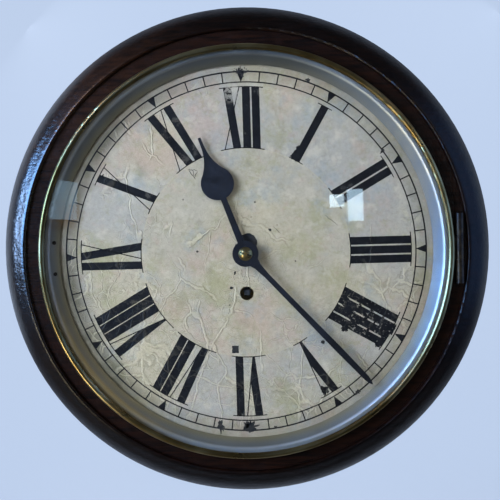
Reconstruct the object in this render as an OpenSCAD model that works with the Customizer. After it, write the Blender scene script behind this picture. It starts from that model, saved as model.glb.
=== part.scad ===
// Fusee dial clock: a round wooden surround with a hinged brass bezel, a painted
// dial and spade hands, a spring driven fusee movement behind the dial, and a
// wooden box with a side door and a curved bottom door that hangs on the wall.
// Millimetres. The origin is the hanging hole at the wall, +Z is up and the dial
// faces -Y. Each piece is drawn as seen from the front, with x to the right, y up
// and z out from the wall, round the axis of the hands. placed() turns it upright.

/* [Surround] */
// Thickness of the surround from the box to its highest line
surround_t = 24; // [18:0.5:34]
// Width of the convex part outside its crest
convex_w = 16.9; // [9:0.1:19]
// Radius of the curve of that part
convex_r = 25.4; // [20:0.1:40]
// Height of the square outer edge
rim_h = 10; // [4:0.5:14]
// Width of the flat band between the dial and the fine step
band_w = 14; // [12:0.5:18]
// Radius of the rounded inner edge beside that step
crest_round = 2.1; // [1:0.1:2.8]
// Height of that step
quirk_h = 3; // [1:0.5:5]
// Depth of the ledge for the dial below the flat band
ledge_h = 4; // [3:0.5:6]
// Clearance between the corners of the movement and the opening of the surround
movement_gap = 7.2; // [6.8:0.1:14]
// Clearance round the dial in its ledge
dial_gap = 1; // [0.5:0.1:1.2]

/* [Dial] */
// Radius of the dial plate
dial_r = 156; // [150:0.5:170]
// Thickness of the dial plate
dial_t = 1.5; // [1:0.1:2]
// Radius of the hole for the hands
centre_hole_r = 6.5; // [6:0.1:8]
// Radius of the winding hole
winding_hole_r = 5.4; // [4.5:0.1:6.5]
// Distance of the dial screws from the edge of the dial
dial_screw_in = 4.5; // [4:0.1:6]
// Diameter of the dial screws
dial_screw_d = 2.4; // [2:0.1:3]
// Length of the dial screws under the head
dial_screw_len = 12; // [8:0.5:16]
// Radius of the dial feet
dial_foot_r = 3.2; // [2.5:0.1:4]

/* [Bezel] */
// Reach of the brass bezel beyond the dial
bezel_over = 4.5; // [4:0.1:6]
// Width of the half-round front of the bezel
bezel_lip_w = 4.9; // [4.4:0.1:5.4]
// Thickness of the bezel wall
bezel_wall = 3.3; // [2.5:0.1:3.4]
// Height of the bezel wall under its half-round front
bezel_wall_h = 5.6; // [5:0.1:8]
// Gap between the closed bezel and the wood
bezel_gap = 0.3; // [0.2:0.05:0.6]
// Thickness of the glass
glass_t = 1.8; // [1.5:0.1:2.4]
// Rise of the domed glass
glass_rise = 17; // [12:0.5:24]
// Distance of the slope of the sight ring from the outside of the bezel
sight_seat_w = 6.9; // [6.4:0.1:8]
// Width of the slope of the sight ring
sight_w = 8.4; // [8:0.1:9.6]
// Thickness of the sight ring
sight_t = 0.8; // [0.6:0.1:1]
// Height of the sight ring over the dial
sight_lift = 0.9; // [0.5:0.1:1.5]

/* [Bezel hinge] */
// Length of the hinge
hinge_len = 54; // [40:1:70]
// Radius of its knuckles
knuckle_r = 3.1; // [2.4:0.1:3.6]
// Radius of its pin
hinge_pin_r = 1.2; // [0.8:0.1:1.5]
// Thickness of the plate let into the wood
hinge_plate_t = 1.5; // [1:0.1:2.5]
// Gap between the bezel and the knuckles
hinge_gap = 1; // [0.8:0.1:2]

/* [Bezel catch] */
// Length of the catch block round the dial
catch_len = 32; // [28:1:40]
// Distance of the two catch screws from the centre line
catch_screw_y = 12.2; // [9:0.1:13]
// Distance of the catch screws from the inner edge of the sight ring
catch_screw_in = 4; // [3.8:0.1:4.6]
// Width of the catch tongue
tongue_w = 10.6; // [8:0.2:14]
// Thickness of the catch tongue
tongue_t = 2.5; // [1.5:0.1:3]
// Length of the tongue behind the block
tongue_len = 12; // [8:0.5:14]
// Thickness of the keeper plate
keeper_t = 1.2; // [0.8:0.1:2]

/* [Hands] */
// Length of the hour hand
hour_len = 95.9; // [80:0.1:110]
// Radius of the round body of the hour hand
hour_body_r = 12.8; // [9:0.1:16]
// Distance of that body from the centre
hour_body_at = 58.2; // [50:0.1:66]
// Width of the stem of the hour hand
hour_stem_w = 4.5; // [3:0.1:6]
// Width of the tip of the hour hand
hour_tip_w = 2.3; // [1:0.1:3]
// Clearance between the tip of the minute hand and the sight ring
minute_gap = 3.5; // [2:0.1:12]
// Width of the minute hand
minute_w = 4.4; // [3:0.1:6]
// Radius of the boss of the minute hand
minute_boss_r = 10.1; // [8:0.1:12]
// Thickness of the hands
hand_t = 1.2; // [0.8:0.1:1.5]
// Angle of the minute hand clockwise from twelve
minute_angle = 137.3; // [0:0.1:360]
// Angle of the hour hand clockwise from twelve
hour_angle = 339.7; // [0:0.1:360]
// Radius of the domed collet
collet_r = 5.4; // [4.5:0.1:7]

/* [Box] */
// Distance from the wall to the back of the surround
box_depth = 100; // [98:0.5:110]
// Width of the box
box_w = 224; // [220:1:232]
// Height of the top of the box over the centre
box_top = 135; // [125:1:145]
// Depth of the straight sides below the centre
box_side_drop = 95; // [94:1:100]
// Depth of the curved bottom below the centre
box_drop = 180; // [178:1:186]
// Thickness of the boards
board_t = 8; // [7:0.5:9]
// Thickness of the backboard
backboard_t = 8; // [6:0.5:10]
// Height of the hanging hole over the centre
hang_y = 115; // [100:1:118]
// Radius of the hanging hole
hang_hole_r = 5; // [4:0.5:6]
// Width of the hanging plate
hang_plate_w = 60; // [45:1:80]
// Height of the hanging plate
hang_plate_h = 30; // [26:1:34]
// Thickness of the hanging plate
hang_plate_t = 2; // [1.5:0.5:3]
// Length of the brackets behind the surround
bracket_len = 28; // [20:1:28]
// Depth of those brackets
bracket_depth = 38; // [30:1:48]
// Thickness of those brackets
bracket_t = 10; // [8:0.5:11]
// Radius of the wooden pegs
peg_r = 4; // [3:0.5:5]

/* [Doors] */
// Thickness of both doors
door_t = 5; // [4:0.5:6]
// Gap round the doors
door_gap = 0.6; // [0.4:0.1:1]
// Width of the lip that stops them
door_lip = 4; // [2:0.5:6]
// Height of the side door
side_door_h = 104; // [90:1:110]
// Distance of the side door from the surround
side_door_front = 14; // [8:0.5:24]
// Height of the middle of the side door over the centre
side_door_y = 8; // [0:1:10]
// Half angle of the bottom door round the curve
bottom_door_angle = 22; // [16:1:26]
// Distance of the bottom door from the surround
bottom_door_front = 6; // [5:0.5:20]
// Distance of both doors from the backboard
door_start = 12; // [8:0.5:14]
// Radius of the door hinge knuckles
door_knuckle_r = 2; // [1.6:0.1:2.4]
// Radius of the door hinge pins
door_pin_r = 0.8; // [0.6:0.1:1]

/* [Plates] */
// Thickness of the movement plates
plate_t = 2.5; // [2:0.1:3]
// Distance of the front plate behind the ledge of the dial
plate_drop = 17.5; // [17:0.5:18]
// Distance between the plates
plate_gap = 46; // [46:0.5:46.5]
// Left edge of the plates
plate_left = -90; // [-92:0.5:-89]
// Right edge of the plates
plate_right = 38; // [37:0.5:44]
// Lower edge of the plates
plate_low = -68; // [-72:0.5:-67]
// Upper edge of the plates
plate_high = 74; // [73:0.5:78]
// Radius of the plate corners
plate_corner_r = 6; // [3:0.5:9]
// Distance of the pillars from the plate edges
pillar_in = 7; // [6:0.5:9]
// Radius of the pillars
pillar_r = 3.2; // [2.8:0.1:4]
// Radius of the taper pins
pin_r = 0.75; // [0.6:0.05:0.9]

/* [Train] */
// Distance of the fusee below the centre
fusee_drop = 31.5; // [30.5:0.1:33]
// Distance between centre arbor and third arbor
third_dist = 25; // [24:0.1:26]
// Distance between third arbor and escape arbor
escape_dist = 21.25; // [20.5:0.05:22]
// Height of the escape arbor over the centre
escape_y = 38; // [37:0.5:39]
// Height of the pallet arbor over the centre
pallet_y = 62.5; // [62:0.5:64]
// Radius of the escape wheel
escape_r = 17.5; // [16.5:0.1:18]
// Distance between centre arbor and minute wheel
motion_dist = 26; // [25:0.1:27]
// Thickness of the wheels
wheel_t = 2; // [1.5:0.1:2.2]
// Radial clearance of the running fits
fit = 0.05; // [0.02:0.01:0.08]

/* [Fusee] */
// Turns of the groove
fusee_turns = 16; // [14:1:16]
// Distance from turn to turn
groove_pitch = 1.7; // [1.6:0.05:1.75]
// Depth of the groove
groove_depth = 1; // [0.9:0.05:1.1]
// Large radius of the fusee
fusee_big_r = 22; // [18:0.5:23]
// Small radius of the fusee
fusee_small_r = 10.5; // [8:0.5:13]
// Radius of the flange at the large end
fusee_flange_r = 24.5; // [24:0.5:25.5]
// Diameter of the line
line_d = 1; // [0.8:0.05:1.1]
// Turns of line on the fusee now
line_turns = 8; // [6:1:10]
// Turns of line on the barrel now
barrel_line_turns = 4; // [3:1:5]

/* [Barrel] */
// Outer radius of the spring barrel
barrel_r = 26.5; // [24:0.5:27]
// Wall of the barrel
barrel_wall = 1.6; // [1.2:0.1:2.5]
// Length of the barrel
barrel_len = 32; // [28:0.5:33]
// Place of the barrel arbor left of the centre
barrel_x = -58.5; // [-59.5:0.5:-58]
// Place of the barrel arbor below the centre
barrel_y = -36; // [-37:0.5:-34]
// Turns of the mainspring
spring_turns = 8; // [6:1:10]
// Thickness of the mainspring
spring_t = 0.6; // [0.4:0.05:0.8]

/* [Pendulum] */
// Distance from the pallet axis to the middle of the bob
pendulum_len = 202; // [200:0.5:204]
// Distance of the pendulum behind the back plate
pendulum_back = 15.5; // [14.5:0.5:18.5]
// Radius of the bob
bob_r = 22; // [16:0.5:24]
// Thickness of the bob
bob_t = 12; // [8:0.5:16]
// Radius of the pendulum rod
rod_r = 1.7; // [1.2:0.1:2]
// Length of the crutch
crutch_len = 70; // [60:1:80]
// Radius of the crutch wire
crutch_r = 1.1; // [0.8:0.1:1.3]

/* [Hidden] */
$fn = 96;

wood = [0.16, 0.08, 0.05];
brass = [0.72, 0.58, 0.3];
steel = [0.55, 0.56, 0.58];
blued = [0.1, 0.11, 0.15];
silvered = [0.55, 0.62, 0.68];
paint = [0.74, 0.73, 0.68];
clear = [0.8, 0.88, 0.92, 0.35];
gut = [0.7, 0.6, 0.4];

// small clearances and overlaps
seat = 0.05;
slip = 0.1;
over = 1;

// radii round the dial
ledge_r = dial_r + dial_gap;
quirk_r = ledge_r + band_w;
surround_r = quirk_r + crest_round + convex_w;
surround_hole_r = norm([plate_left, plate_low]) + movement_gap;
dial_screw_at = dial_r - dial_screw_in;
bezel_r = dial_r + bezel_over;
bezel_lip_r = bezel_r - bezel_lip_w;
glass_r = bezel_r - bezel_wall - 0.3;
sight_top_r = bezel_r - sight_seat_w;
sight_in_r = sight_top_r - sight_w;
minute_len = sight_in_r - minute_gap;
catch_screw_at = sight_in_r + catch_screw_in;

// levels of the dial, bezel and hands
band_z = box_depth + surround_t - quirk_h;
ledge_z = band_z - ledge_h;
dial_z = ledge_z + dial_t;
bezel_z = band_z + bezel_gap;
bezel_top_z = bezel_z + bezel_wall_h;
glass_drop = 2.3;
glass_z = bezel_top_z - glass_drop;
glass_curve = (glass_r * glass_r + glass_rise * glass_rise) / (2 * glass_rise);
sight_z = dial_z + sight_lift;
sight_top_z = glass_z - seat;
sight_slope = (sight_top_z - sight_z - sight_t) / (sight_top_r - sight_in_r);
sight_tilt = atan(sight_slope);
sight_under = (sight_top_z - sight_z - sight_t) / (sight_top_r + 0.3 - sight_in_r);
head_r = 2.2;
head_h = 1.3;
screw_slot_w = 0.6;
screw_slot_h = 0.5;

// bezel hinge and catch
hinge_x = bezel_r + hinge_gap + knuckle_r;
hinge_z = band_z + knuckle_r + bezel_gap;
middle_len = hinge_len / 3;
knuckle_gap = 0.3;
hinge_plate_w = 2 * knuckle_r + 1;
catch_angle = catch_len / 2 / catch_screw_at * 180 / PI;
catch_screw_angle = asin(catch_screw_y / catch_screw_at);
catch_out_r = glass_r - 1.4;
catch_in_r = sight_in_r + 2.8;
tongue_out_r = catch_out_r - 2;
tongue_in_r = tongue_out_r - tongue_t;
catch_z = dial_z + 0.6;
slot_in = 0.6;
slot_out = 1.1;
keeper_w = 18;
catch_screw_r = 1;
catch_head_r = 1.5;

// hands
hour_hand_z = dial_z + 3;
hour_collar_h = 2;
minute_hand_z = hour_hand_z + 3.7;
hour_boss_r = 8.5;
collet_h = 2.6;
hand_pin_len = 9;
hand_pin_r = 0.5;

// movement levels
face_z = ledge_z - plate_drop;
front_z = face_z - plate_t;
back_z = front_z - plate_gap;
plate_z = back_z - plate_t;
pendulum_z = plate_z - pendulum_back;
centre_wheel_z = back_z + 2;
great_z = back_z + 7;
great_t = 3;
cone_z = great_z + great_t + 0.3;
flange_t = 1.7;
groove_z = cone_z + flange_t;
third_wheel_z = great_z + great_t + 5;
escape_lift = 10;
escape_wheel_z = third_wheel_z + escape_lift;
barrel_z = great_z + 2;
cannon_z = face_z + 1.5;
bridge_z = cannon_z + wheel_t + 0.7;
bridge_t = 1.2;
hour_wheel_z = bridge_z + bridge_t + 0.5;

// tooth counts
great_n = 96;
centre_pinion_n = 8;
centre_n = 84;
third_pinion_n = 7;
third_n = 78;
escape_pinion_n = 7;
escape_n = 30;
cannon_n = 36;
minute_pinion_n = 6;
hour_n = 72;
setup_n = 20;

// modules of the teeth from the distances of the arbors
great_m = 2 * fusee_drop / (great_n + centre_pinion_n);
centre_m = 2 * third_dist / (centre_n + third_pinion_n);
third_m = 2 * escape_dist / (third_n + escape_pinion_n);
cannon_m = motion_dist / cannon_n;
hour_m = 2 * motion_dist / (hour_n + minute_pinion_n);

// tooth forms: tip and root height in modules, share of the pitch that is tooth,
// width at six tenths of the tip height, width at the tip
wheel_form = [0.95, 1.25, 0.9, 0.75, 0.25];
pinion_form = [0.7, 1.35, 0.84, 0.8, 0.35];
even_form = [0.85, 1.2, 0.9, 0.75, 0.4];

// places of the arbors seen from the front
fusee_at = [0, -fusee_drop];
escape_at = [0, escape_y];
third_up = (third_dist * third_dist - escape_dist * escape_dist + escape_y * escape_y)
  / (2 * escape_y);
third_at = [sqrt(third_dist * third_dist - third_up * third_up), third_up];
pallet_at = [0, pallet_y];
barrel_at = [barrel_x, barrel_y];
minute_at = [motion_dist, 0];
pillar_xs = [plate_left + pillar_in, plate_right - pillar_in];
pillar_ys = [plate_low + pillar_in, plate_high - pillar_in];
foot_in = 13;
dial_feet_at = [[plate_left + foot_in, 30], [plate_right - 8, 50],
  [plate_right - 5, -30], [-34, plate_low + 6]];

// phases of the wheels, so that all teeth are in mesh
third_dir = atan2(third_at[1], third_at[0]);
escape_dir = atan2(escape_at[1] - third_at[1], escape_at[0] - third_at[0]);
great_phase = mesh_phase(centre_pinion_n, 0, great_n, -90);
third_phase = mesh_phase(centre_n, 0, third_pinion_n, third_dir);
escape_phase = mesh_phase(third_n, 0, escape_pinion_n, escape_dir);
minute_phase = mesh_phase(cannon_n, 0, cannon_n, 0);
hour_phase = mesh_phase(minute_pinion_n, 0, hour_n, 180);

// radii of arbors, pipes and pivots
arbor_r = 1.15;
pivot_r = 0.7;
centre_arbor_r = 2;
centre_front_r = 1.9;
hand_arbor_r = 1.6;
cannon_r = 3;
cannon_square = 4.2;
bridge_pipe_r = 3.95;
hour_pipe_r = 5;
stud_r = 0.7;
fusee_arbor_r = 3.5;
fusee_pivot_r = 3;
winding_square = 4.2;
winding_end = ledge_z - 3;
barrel_arbor_r = 4;
barrel_pivot_r = 3.4;
setup_square = 4.7;
setup_r = 11;
setup_z = face_z + 0.4;
setup_t = 2;
click_reach = 14;
click_rise = 2.4;
click_at = barrel_at + [-click_reach, setup_r + click_rise];
pallet_arbor_r = 1.6;

// bridge over the cannon wheel
bridge_dir = 120;
bridge_half = 31;
bridge_w = 11;
bridge_foot = 16;
bridge_screw = 27.5;
bridge_pipe_end = ledge_z + 2;

// back cock and suspension
cock_half = 17;
cock_h = 12;
cock_t = 3;
cock_z = plate_z - 10;
cock_screw_x = 13.5;
post_half = 4;
post_low = 1.2;
post_high = 9;
post_z = pendulum_z - 4.5;
spring_w = 6;
spring_leaf_t = 0.3;
cock_pin_y = 5.5;
spring_block = 5;
spring_free = 9;
rod_top = pallet_y - spring_free - spring_block;
crutch_pin_r = 1;
crutch_z = plate_z - 4.5;
fork_h = 16;
fork_half = 3.4;
fork_y = pallet_y - crutch_len;
bob_y = pallet_y - pendulum_len;
nut_r = 4.5;
nut_h = 4;

// fusee line
segments = 24;
steps = 5;
line_gap = 0.35;
contact_z = groove_z + line_turns * groove_pitch;
barrel_line_r = barrel_r + line_d / 2 + line_gap + 0.05;
fusee_line_r = line_r(contact_z);
barrel_line_pitch = 2.6;
line_axis = atan2(fusee_at[1] - barrel_at[1], fusee_at[0] - barrel_at[0]);
line_span = norm(fusee_at - barrel_at);
line_angle = line_axis + acos((barrel_line_r - fusee_line_r) / line_span);

// box
box_half = box_w / 2;
bottom_r = (box_half * box_half + pow(box_drop - box_side_drop, 2))
  / (2 * (box_drop - box_side_drop));
bottom_y = bottom_r - box_drop;
bracket_x = box_half - board_t - 0.3 - bracket_t;
bracket_ys = [73, 1 - box_side_drop];
peg_z = box_depth - bracket_depth / 2;
door_z = backboard_t + door_start;
side_door_w = box_depth - side_door_front - door_z;
bottom_door_w = box_depth - bottom_door_front - door_z;
hinge_lift = 0.2;
side_hinge_x = box_half + door_knuckle_r + hinge_lift;
door_hinge_z = door_z - hinge_lift;
side_hinge_len = 24;
side_hinge_ys = [for (s = [-1, 1]) side_door_y + s * (side_door_h / 2 - side_hinge_len + 2)];
door_leaf_t = 1;
leaf_w = 9;
bottom_hinge_y = -box_drop - door_knuckle_r - hinge_lift;
bottom_hinge_len = 24;
knob_r = 5;
knob_in = 10;
hang_screw_in = 8;
hang_screw_r = 1.5;

// shared shapes

function polar(r, a) = [r * cos(a), r * sin(a)];

// phase of wheel b in mesh with wheel a, in the direction from a to b
function mesh_phase(na, pa, nb, dir) =
  dir + 180 - (0.5 - na * (dir - pa) / 360) * 360 / nb;

// one tooth as radius and angle pairs
function tooth(n, m, form) =
  let (pitch_r = m * n / 2, half = 90 / n * form[2], tip = form[0] * m)
  let (side = [[pitch_r - form[1] * m, half], [pitch_r, half],
    [pitch_r + 0.6 * tip, half * form[3]], [pitch_r + tip, half * form[4]]])
  [for (i = [0:3]) [side[i][0], -side[i][1]], for (i = [3:-1:0]) side[i]];

function toothed(n, m, form) =
  [for (i = [0:n - 1]) for (p = tooth(n, m, form)) polar(p[0], 360 * i / n + p[1])];

// radius of the fusee at a level, falling as the spring grows stronger
function cone_r(z) = fusee_big_r / (1 + (fusee_big_r / fusee_small_r - 1)
  * (z - groove_z) / (fusee_turns * groove_pitch));

// radius of the line's own centre, which lies further out where the cone is steep
function line_r(z) = cone_r(z) - 0.1 + 0.3 * (cone_r(z - 0.5) - cone_r(z + 0.5));

module placed() {
  translate([0, 0, -hang_y])
    rotate([90, 0, 0])
      children();
}

module at(p, z = 0) {
  translate([p[0], p[1], z])
    children();
}

module rod(r, z0, z1) {
  translate([0, 0, z0])
    cylinder(r = r, h = z1 - z0);
}

module tube(r, bore, z0, z1) {
  difference() {
    rod(r, z0, z1);
    rod(bore, z0 - over, z1 + over);
  }
}

module square_bar(w, z0, z1) {
  translate([-w / 2, -w / 2, z0])
    cube([w, w, z1 - z0]);
}

module box(x0, x1, y0, y1, z0, z1) {
  translate([x0, y0, z0])
    cube([x1 - x0, y1 - y0, z1 - z0]);
}

module along_y(y0, y1) {
  translate([0, y0, 0])
    rotate([-90, 0, 0])
      linear_extrude(y1 - y0)
        children();
}

module teeth(n, m, form) {
  polygon(toothed(n, m, form));
}

// a wheel with arms between rim and hub
module crossed_wheel(n, m, rim, hub_r, arms, arm_w, bore) {
  rim_r = m * n / 2 - wheel_form[1] * m - rim;
  difference() {
    teeth(n, m, wheel_form);
    difference() {
      circle(rim_r);
      circle(hub_r);
      for (i = [0:arms - 1])
        rotate(360 / arms * i)
          translate([-arm_w / 2, 0])
            square([arm_w, rim_r + over]);
    }
    circle(bore);
  }
}

// a round headed screw with its head at level 0 and its shank below
module slotted_screw(r, len, big_r = head_r, high = head_h) {
  rod(r, -len, 0.01);
  difference() {
    rod(big_r, 0, high);
    translate([-big_r, -screw_slot_w / 2, high - screw_slot_h])
      cube([2 * big_r, screw_slot_w, high]);
  }
}

module at_dial_screws() {
  for (i = [0:3])
    rotate(45 + 90 * i)
      translate([dial_screw_at, 0, 0])
        children();
}

module at_pillars() {
  for (x = pillar_xs, y = pillar_ys)
    translate([x, y, 0])
      children();
}

// surround

module surround_profile() {
  crest = [quirk_r + crest_round, surround_t];
  edge = [surround_r, rim_h];
  along = (edge - crest) / norm(edge - crest);
  rise = sqrt(convex_r * convex_r - pow(norm(edge - crest) / 2, 2));
  translate([surround_hole_r, 0])
    square([quirk_r - surround_hole_r, surround_t - quirk_h - ledge_h]);
  translate([ledge_r, 0])
    square([quirk_r - ledge_r, surround_t - quirk_h]);
  translate([quirk_r - 0.01, 0])
    square([crest_round + 0.02, surround_t - crest_round]);
  translate(crest - [0, crest_round])
    intersection() {
      circle(crest_round);
      translate([-crest_round - over, -0.01])
        square([crest_round + over + 0.01, crest_round + over]);
    }
  translate([crest[0], 0])
    square([convex_w, rim_h]);
  intersection() {
    translate((crest + edge) / 2 + rise * [along[1], -along[0]])
      circle(convex_r);
    translate([crest[0] - 0.01, rim_h - 0.01])
      square([convex_w + 0.01, surround_t]);
  }
}

module dial_surround() {
  keeper_mid = (tongue_in_r + tongue_out_r) / 2;
  placed() color(wood)
    difference() {
      translate([0, 0, box_depth])
        rotate_extrude($fn = 180)
          surround_profile();
      // mortise of the bezel hinge
      box(hinge_x - hinge_plate_w / 2 - slip, hinge_x + hinge_plate_w / 2 + slip,
        -hinge_len / 2 - slip, hinge_len / 2 + slip,
        band_z - hinge_plate_t, band_z + surround_t);
      // keeper plate and pocket of the catch tongue
      box(-keeper_mid - 4, -keeper_mid + 4, -keeper_w / 2 - slip, keeper_w / 2 + slip,
        ledge_z - keeper_t, ledge_z + over);
      box(-tongue_out_r - slot_out, -tongue_in_r + slot_in,
        -tongue_w / 2 - over, tongue_w / 2 + over,
        catch_z - tongue_len - over, ledge_z);
      at_dial_screws()
        rod(dial_screw_d / 2 + slip, dial_z - dial_screw_len - over, dial_z);
    }
}

module bracket(x, y) {
  box(x, x + bracket_t, y, y + bracket_len, box_depth - bracket_depth, box_depth);
}

module peg_holes(r) {
  for (s = [-1, 1], y = bracket_ys)
    translate([s * (box_half + over), y + bracket_len / 2, peg_z])
      rotate([0, -s * 90, 0])
        cylinder(r = r, h = board_t + bracket_t + 3 * over);
}

module surround_brackets() {
  placed() color(wood)
    difference() {
      for (y = bracket_ys) {
        bracket(bracket_x, y);
        bracket(-bracket_x - bracket_t, y);
      }
      peg_holes(peg_r + slip);
    }
}

// box

module case_side_blank(s) {
  x0 = s > 0 ? box_half - board_t : -box_half;
  difference() {
    box(x0, x0 + board_t, -box_side_drop, box_top, backboard_t, box_depth);
    peg_holes(peg_r + slip);
  }
}

module case_side_left() {
  placed() color(wood)
    case_side_blank(-1);
}

module case_side_right() {
  low = side_door_y - side_door_h / 2;
  high = side_door_y + side_door_h / 2;
  placed() color(wood)
    difference() {
      case_side_blank(1);
      box(box_half - door_t - 0.3, box_half + over, low - door_gap, high + door_gap,
        door_z - door_gap, door_z + side_door_w + door_gap);
      box(box_half - board_t - over, box_half, low + door_lip, high - door_lip,
        door_z + door_lip, door_z + side_door_w - door_lip);
      for (y = side_hinge_ys)
        box(box_half - door_leaf_t, box_half + over, y - side_hinge_len / 2 - slip,
          y + side_hinge_len / 2 + slip, door_hinge_z - leaf_w, door_z);
    }
}

module case_top() {
  placed() color(wood)
    box(-box_half + board_t, box_half - board_t, box_top - board_t, box_top,
      backboard_t, box_depth);
}

// a sector of the curved bottom, with half its angle on each side of the lowest line
module bottom_sector(r0, r1, half, z0, z1) {
  translate([0, bottom_y, z0])
    rotate_extrude(angle = 2 * half, start = 270 - half, $fn = 180)
      translate([r0, 0])
        square([r1 - r0, z1 - z0]);
}

module case_bottom() {
  spare_angle = 10;
  half = atan2(box_half, bottom_y + box_side_drop) + spare_angle;
  lip_angle = door_lip / bottom_r * 180 / PI;
  gap_angle = door_gap / bottom_r * 180 / PI;
  placed() color(wood)
    difference() {
      bottom_sector(bottom_r - board_t, bottom_r, half, backboard_t, box_depth);
      box(-box_w, box_w, -box_side_drop, box_top, 0, box_depth + over);
      bottom_sector(bottom_r - door_t - 0.3, bottom_r + over,
        bottom_door_angle + gap_angle, door_z - door_gap,
        door_z + bottom_door_w + door_gap);
      bottom_sector(bottom_r - board_t - over, bottom_r,
        bottom_door_angle - lip_angle, door_z + door_lip,
        door_z + bottom_door_w - door_lip);
      box(-bottom_hinge_len / 2 - slip, bottom_hinge_len / 2 + slip, -box_drop - over,
        -box_drop + door_leaf_t, door_hinge_z - leaf_w, door_z);
    }
}

module back_outline() {
  translate([-box_half, -box_side_drop])
    square([box_w, box_side_drop + box_top]);
  intersection() {
    translate([0, bottom_y])
      circle(bottom_r, $fn = 180);
    translate([-box_half, -box_drop - over])
      square([box_w, box_drop]);
  }
}

module at_hanging_screws() {
  for (sx = [-1, 1], sy = [-1, 1])
    translate([sx * (hang_plate_w / 2 - hang_screw_in),
      hang_y + sy * (hang_plate_h / 2 - hang_screw_in), 0])
      children();
}

module backboard() {
  placed() color(wood)
    difference() {
      linear_extrude(backboard_t)
        back_outline();
      box(-hang_plate_w / 2 - slip, hang_plate_w / 2 + slip,
        hang_y - hang_plate_h / 2 - slip, hang_y + hang_plate_h / 2 + slip,
        -over, hang_plate_t);
      at([0, hang_y])
        rod(hang_hole_r + 3, 0, backboard_t + over);
      at_hanging_screws()
        rod(hang_screw_r + slip, 0, backboard_t - 1);
    }
}

module case_pegs() {
  placed() color(wood)
    for (s = [-1, 1], y = bracket_ys)
      translate([s * box_half, y + bracket_len / 2, peg_z])
        rotate([0, -s * 90, 0]) {
          cylinder(r = peg_r, h = board_t + bracket_t - 2);
          translate([0, 0, -5])
            cylinder(r = peg_r + 1.5, h = 5);
        }
}

module hanging_plate() {
  placed() color(brass)
    difference() {
      box(-hang_plate_w / 2, hang_plate_w / 2, hang_y - hang_plate_h / 2,
        hang_y + hang_plate_h / 2, 0, hang_plate_t);
      at([0, hang_y])
        rod(hang_hole_r, -over, hang_plate_t + over);
      at_hanging_screws()
        translate([0, 0, -0.01])
          cylinder(r1 = hang_screw_r + hang_plate_t + slip,
            r2 = hang_screw_r + slip, h = hang_plate_t + 0.02);
    }
}

module hanging_screws() {
  placed() color(steel)
    at_hanging_screws() {
      cylinder(r1 = hang_screw_r + hang_plate_t, r2 = hang_screw_r,
        h = hang_plate_t);
      rod(hang_screw_r, hang_plate_t - 0.01, backboard_t - 1.5);
    }
}

// doors

module side_door() {
  placed() color(wood)
    difference() {
      box(box_half - door_t, box_half, side_door_y - side_door_h / 2,
        side_door_y + side_door_h / 2, door_z, door_z + side_door_w);
      for (y = side_hinge_ys)
        box(box_half - door_leaf_t, box_half + over, y - side_hinge_len / 2 - slip,
          y + side_hinge_len / 2 + slip, door_z - over, door_hinge_z + leaf_w);
      translate([box_half + over, side_door_y, door_z + side_door_w - knob_in])
        rotate([0, -90, 0])
          cylinder(r = 1.6, h = door_t);
    }
}

module bottom_door() {
  placed() color(wood)
    difference() {
      bottom_sector(bottom_r - door_t, bottom_r, bottom_door_angle, door_z,
        door_z + bottom_door_w);
      box(-bottom_hinge_len / 2 - slip, bottom_hinge_len / 2 + slip, -box_drop - over,
        -box_drop + door_leaf_t, door_z - over, door_z + leaf_w);
      translate([0, -box_drop - over, door_z + bottom_door_w - knob_in])
        rotate([-90, 0, 0])
          cylinder(r = 1.6, h = door_t);
    }
}

// a turned knob on a short shank, along +z from its seat
module knob() {
  rod(1.5, -door_t + 1.2, 0.01);
  rotate_extrude() {
    square([2.2, 4]);
    square([3.6, 0.8]);
    intersection() {
      translate([0, 6])
        circle(knob_r * 0.8);
      square([knob_r, 9]);
    }
  }
}

module side_door_knob() {
  placed() color(brass)
    translate([box_half, side_door_y, door_z + side_door_w - knob_in])
      rotate([0, 90, 0])
        knob();
}

module bottom_door_knob() {
  placed() color(brass)
    translate([0, -box_drop, door_z + bottom_door_w - knob_in])
      rotate([90, 0, 0])
        knob();
}

// half a hinge along y: knuckles on the axis, and a leaf let in below them to -x
module hinge_half(len, middle) {
  third = len / 3;
  low = -door_knuckle_r - hinge_lift - door_leaf_t;
  spans = middle ? [[knuckle_gap - third / 2, third / 2 - knuckle_gap]]
    : [[-len / 2, -third / 2], [third / 2, len / 2]];
  difference() {
    union() {
      box(slip - leaf_w, -slip, -len / 2, len / 2, low, low + door_leaf_t);
      for (s = spans) {
        box(-door_knuckle_r, -slip, s[0], s[1], low, 0);
        along_y(s[0], s[1])
          circle(door_knuckle_r);
      }
    }
    if (middle)
      along_y(-len / 2, len / 2)
        circle(door_pin_r + fit);
  }
  if (!middle)
    along_y(-len / 2, len / 2)
      circle(door_pin_r);
}

module at_side_hinges() {
  for (y = side_hinge_ys)
    translate([side_hinge_x, y, door_hinge_z])
      rotate([0, 90, 0])
        children();
}

module at_bottom_hinge() {
  translate([0, bottom_hinge_y, door_hinge_z])
    rotate([90, 0, 0])
      rotate([0, 0, 90])
        children();
}

module door_hinges() {
  placed() color(brass) {
    at_side_hinges()
      mirror([1, 0, 0])
        hinge_half(side_hinge_len, false);
    at_bottom_hinge()
      hinge_half(bottom_hinge_len, false);
  }
}

module side_door_leaves() {
  placed() color(brass)
    at_side_hinges()
      hinge_half(side_hinge_len, true);
}

module bottom_door_leaf() {
  placed() color(brass)
    at_bottom_hinge()
      mirror([1, 0, 0])
        hinge_half(bottom_hinge_len, true);
}

// dial

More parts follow.
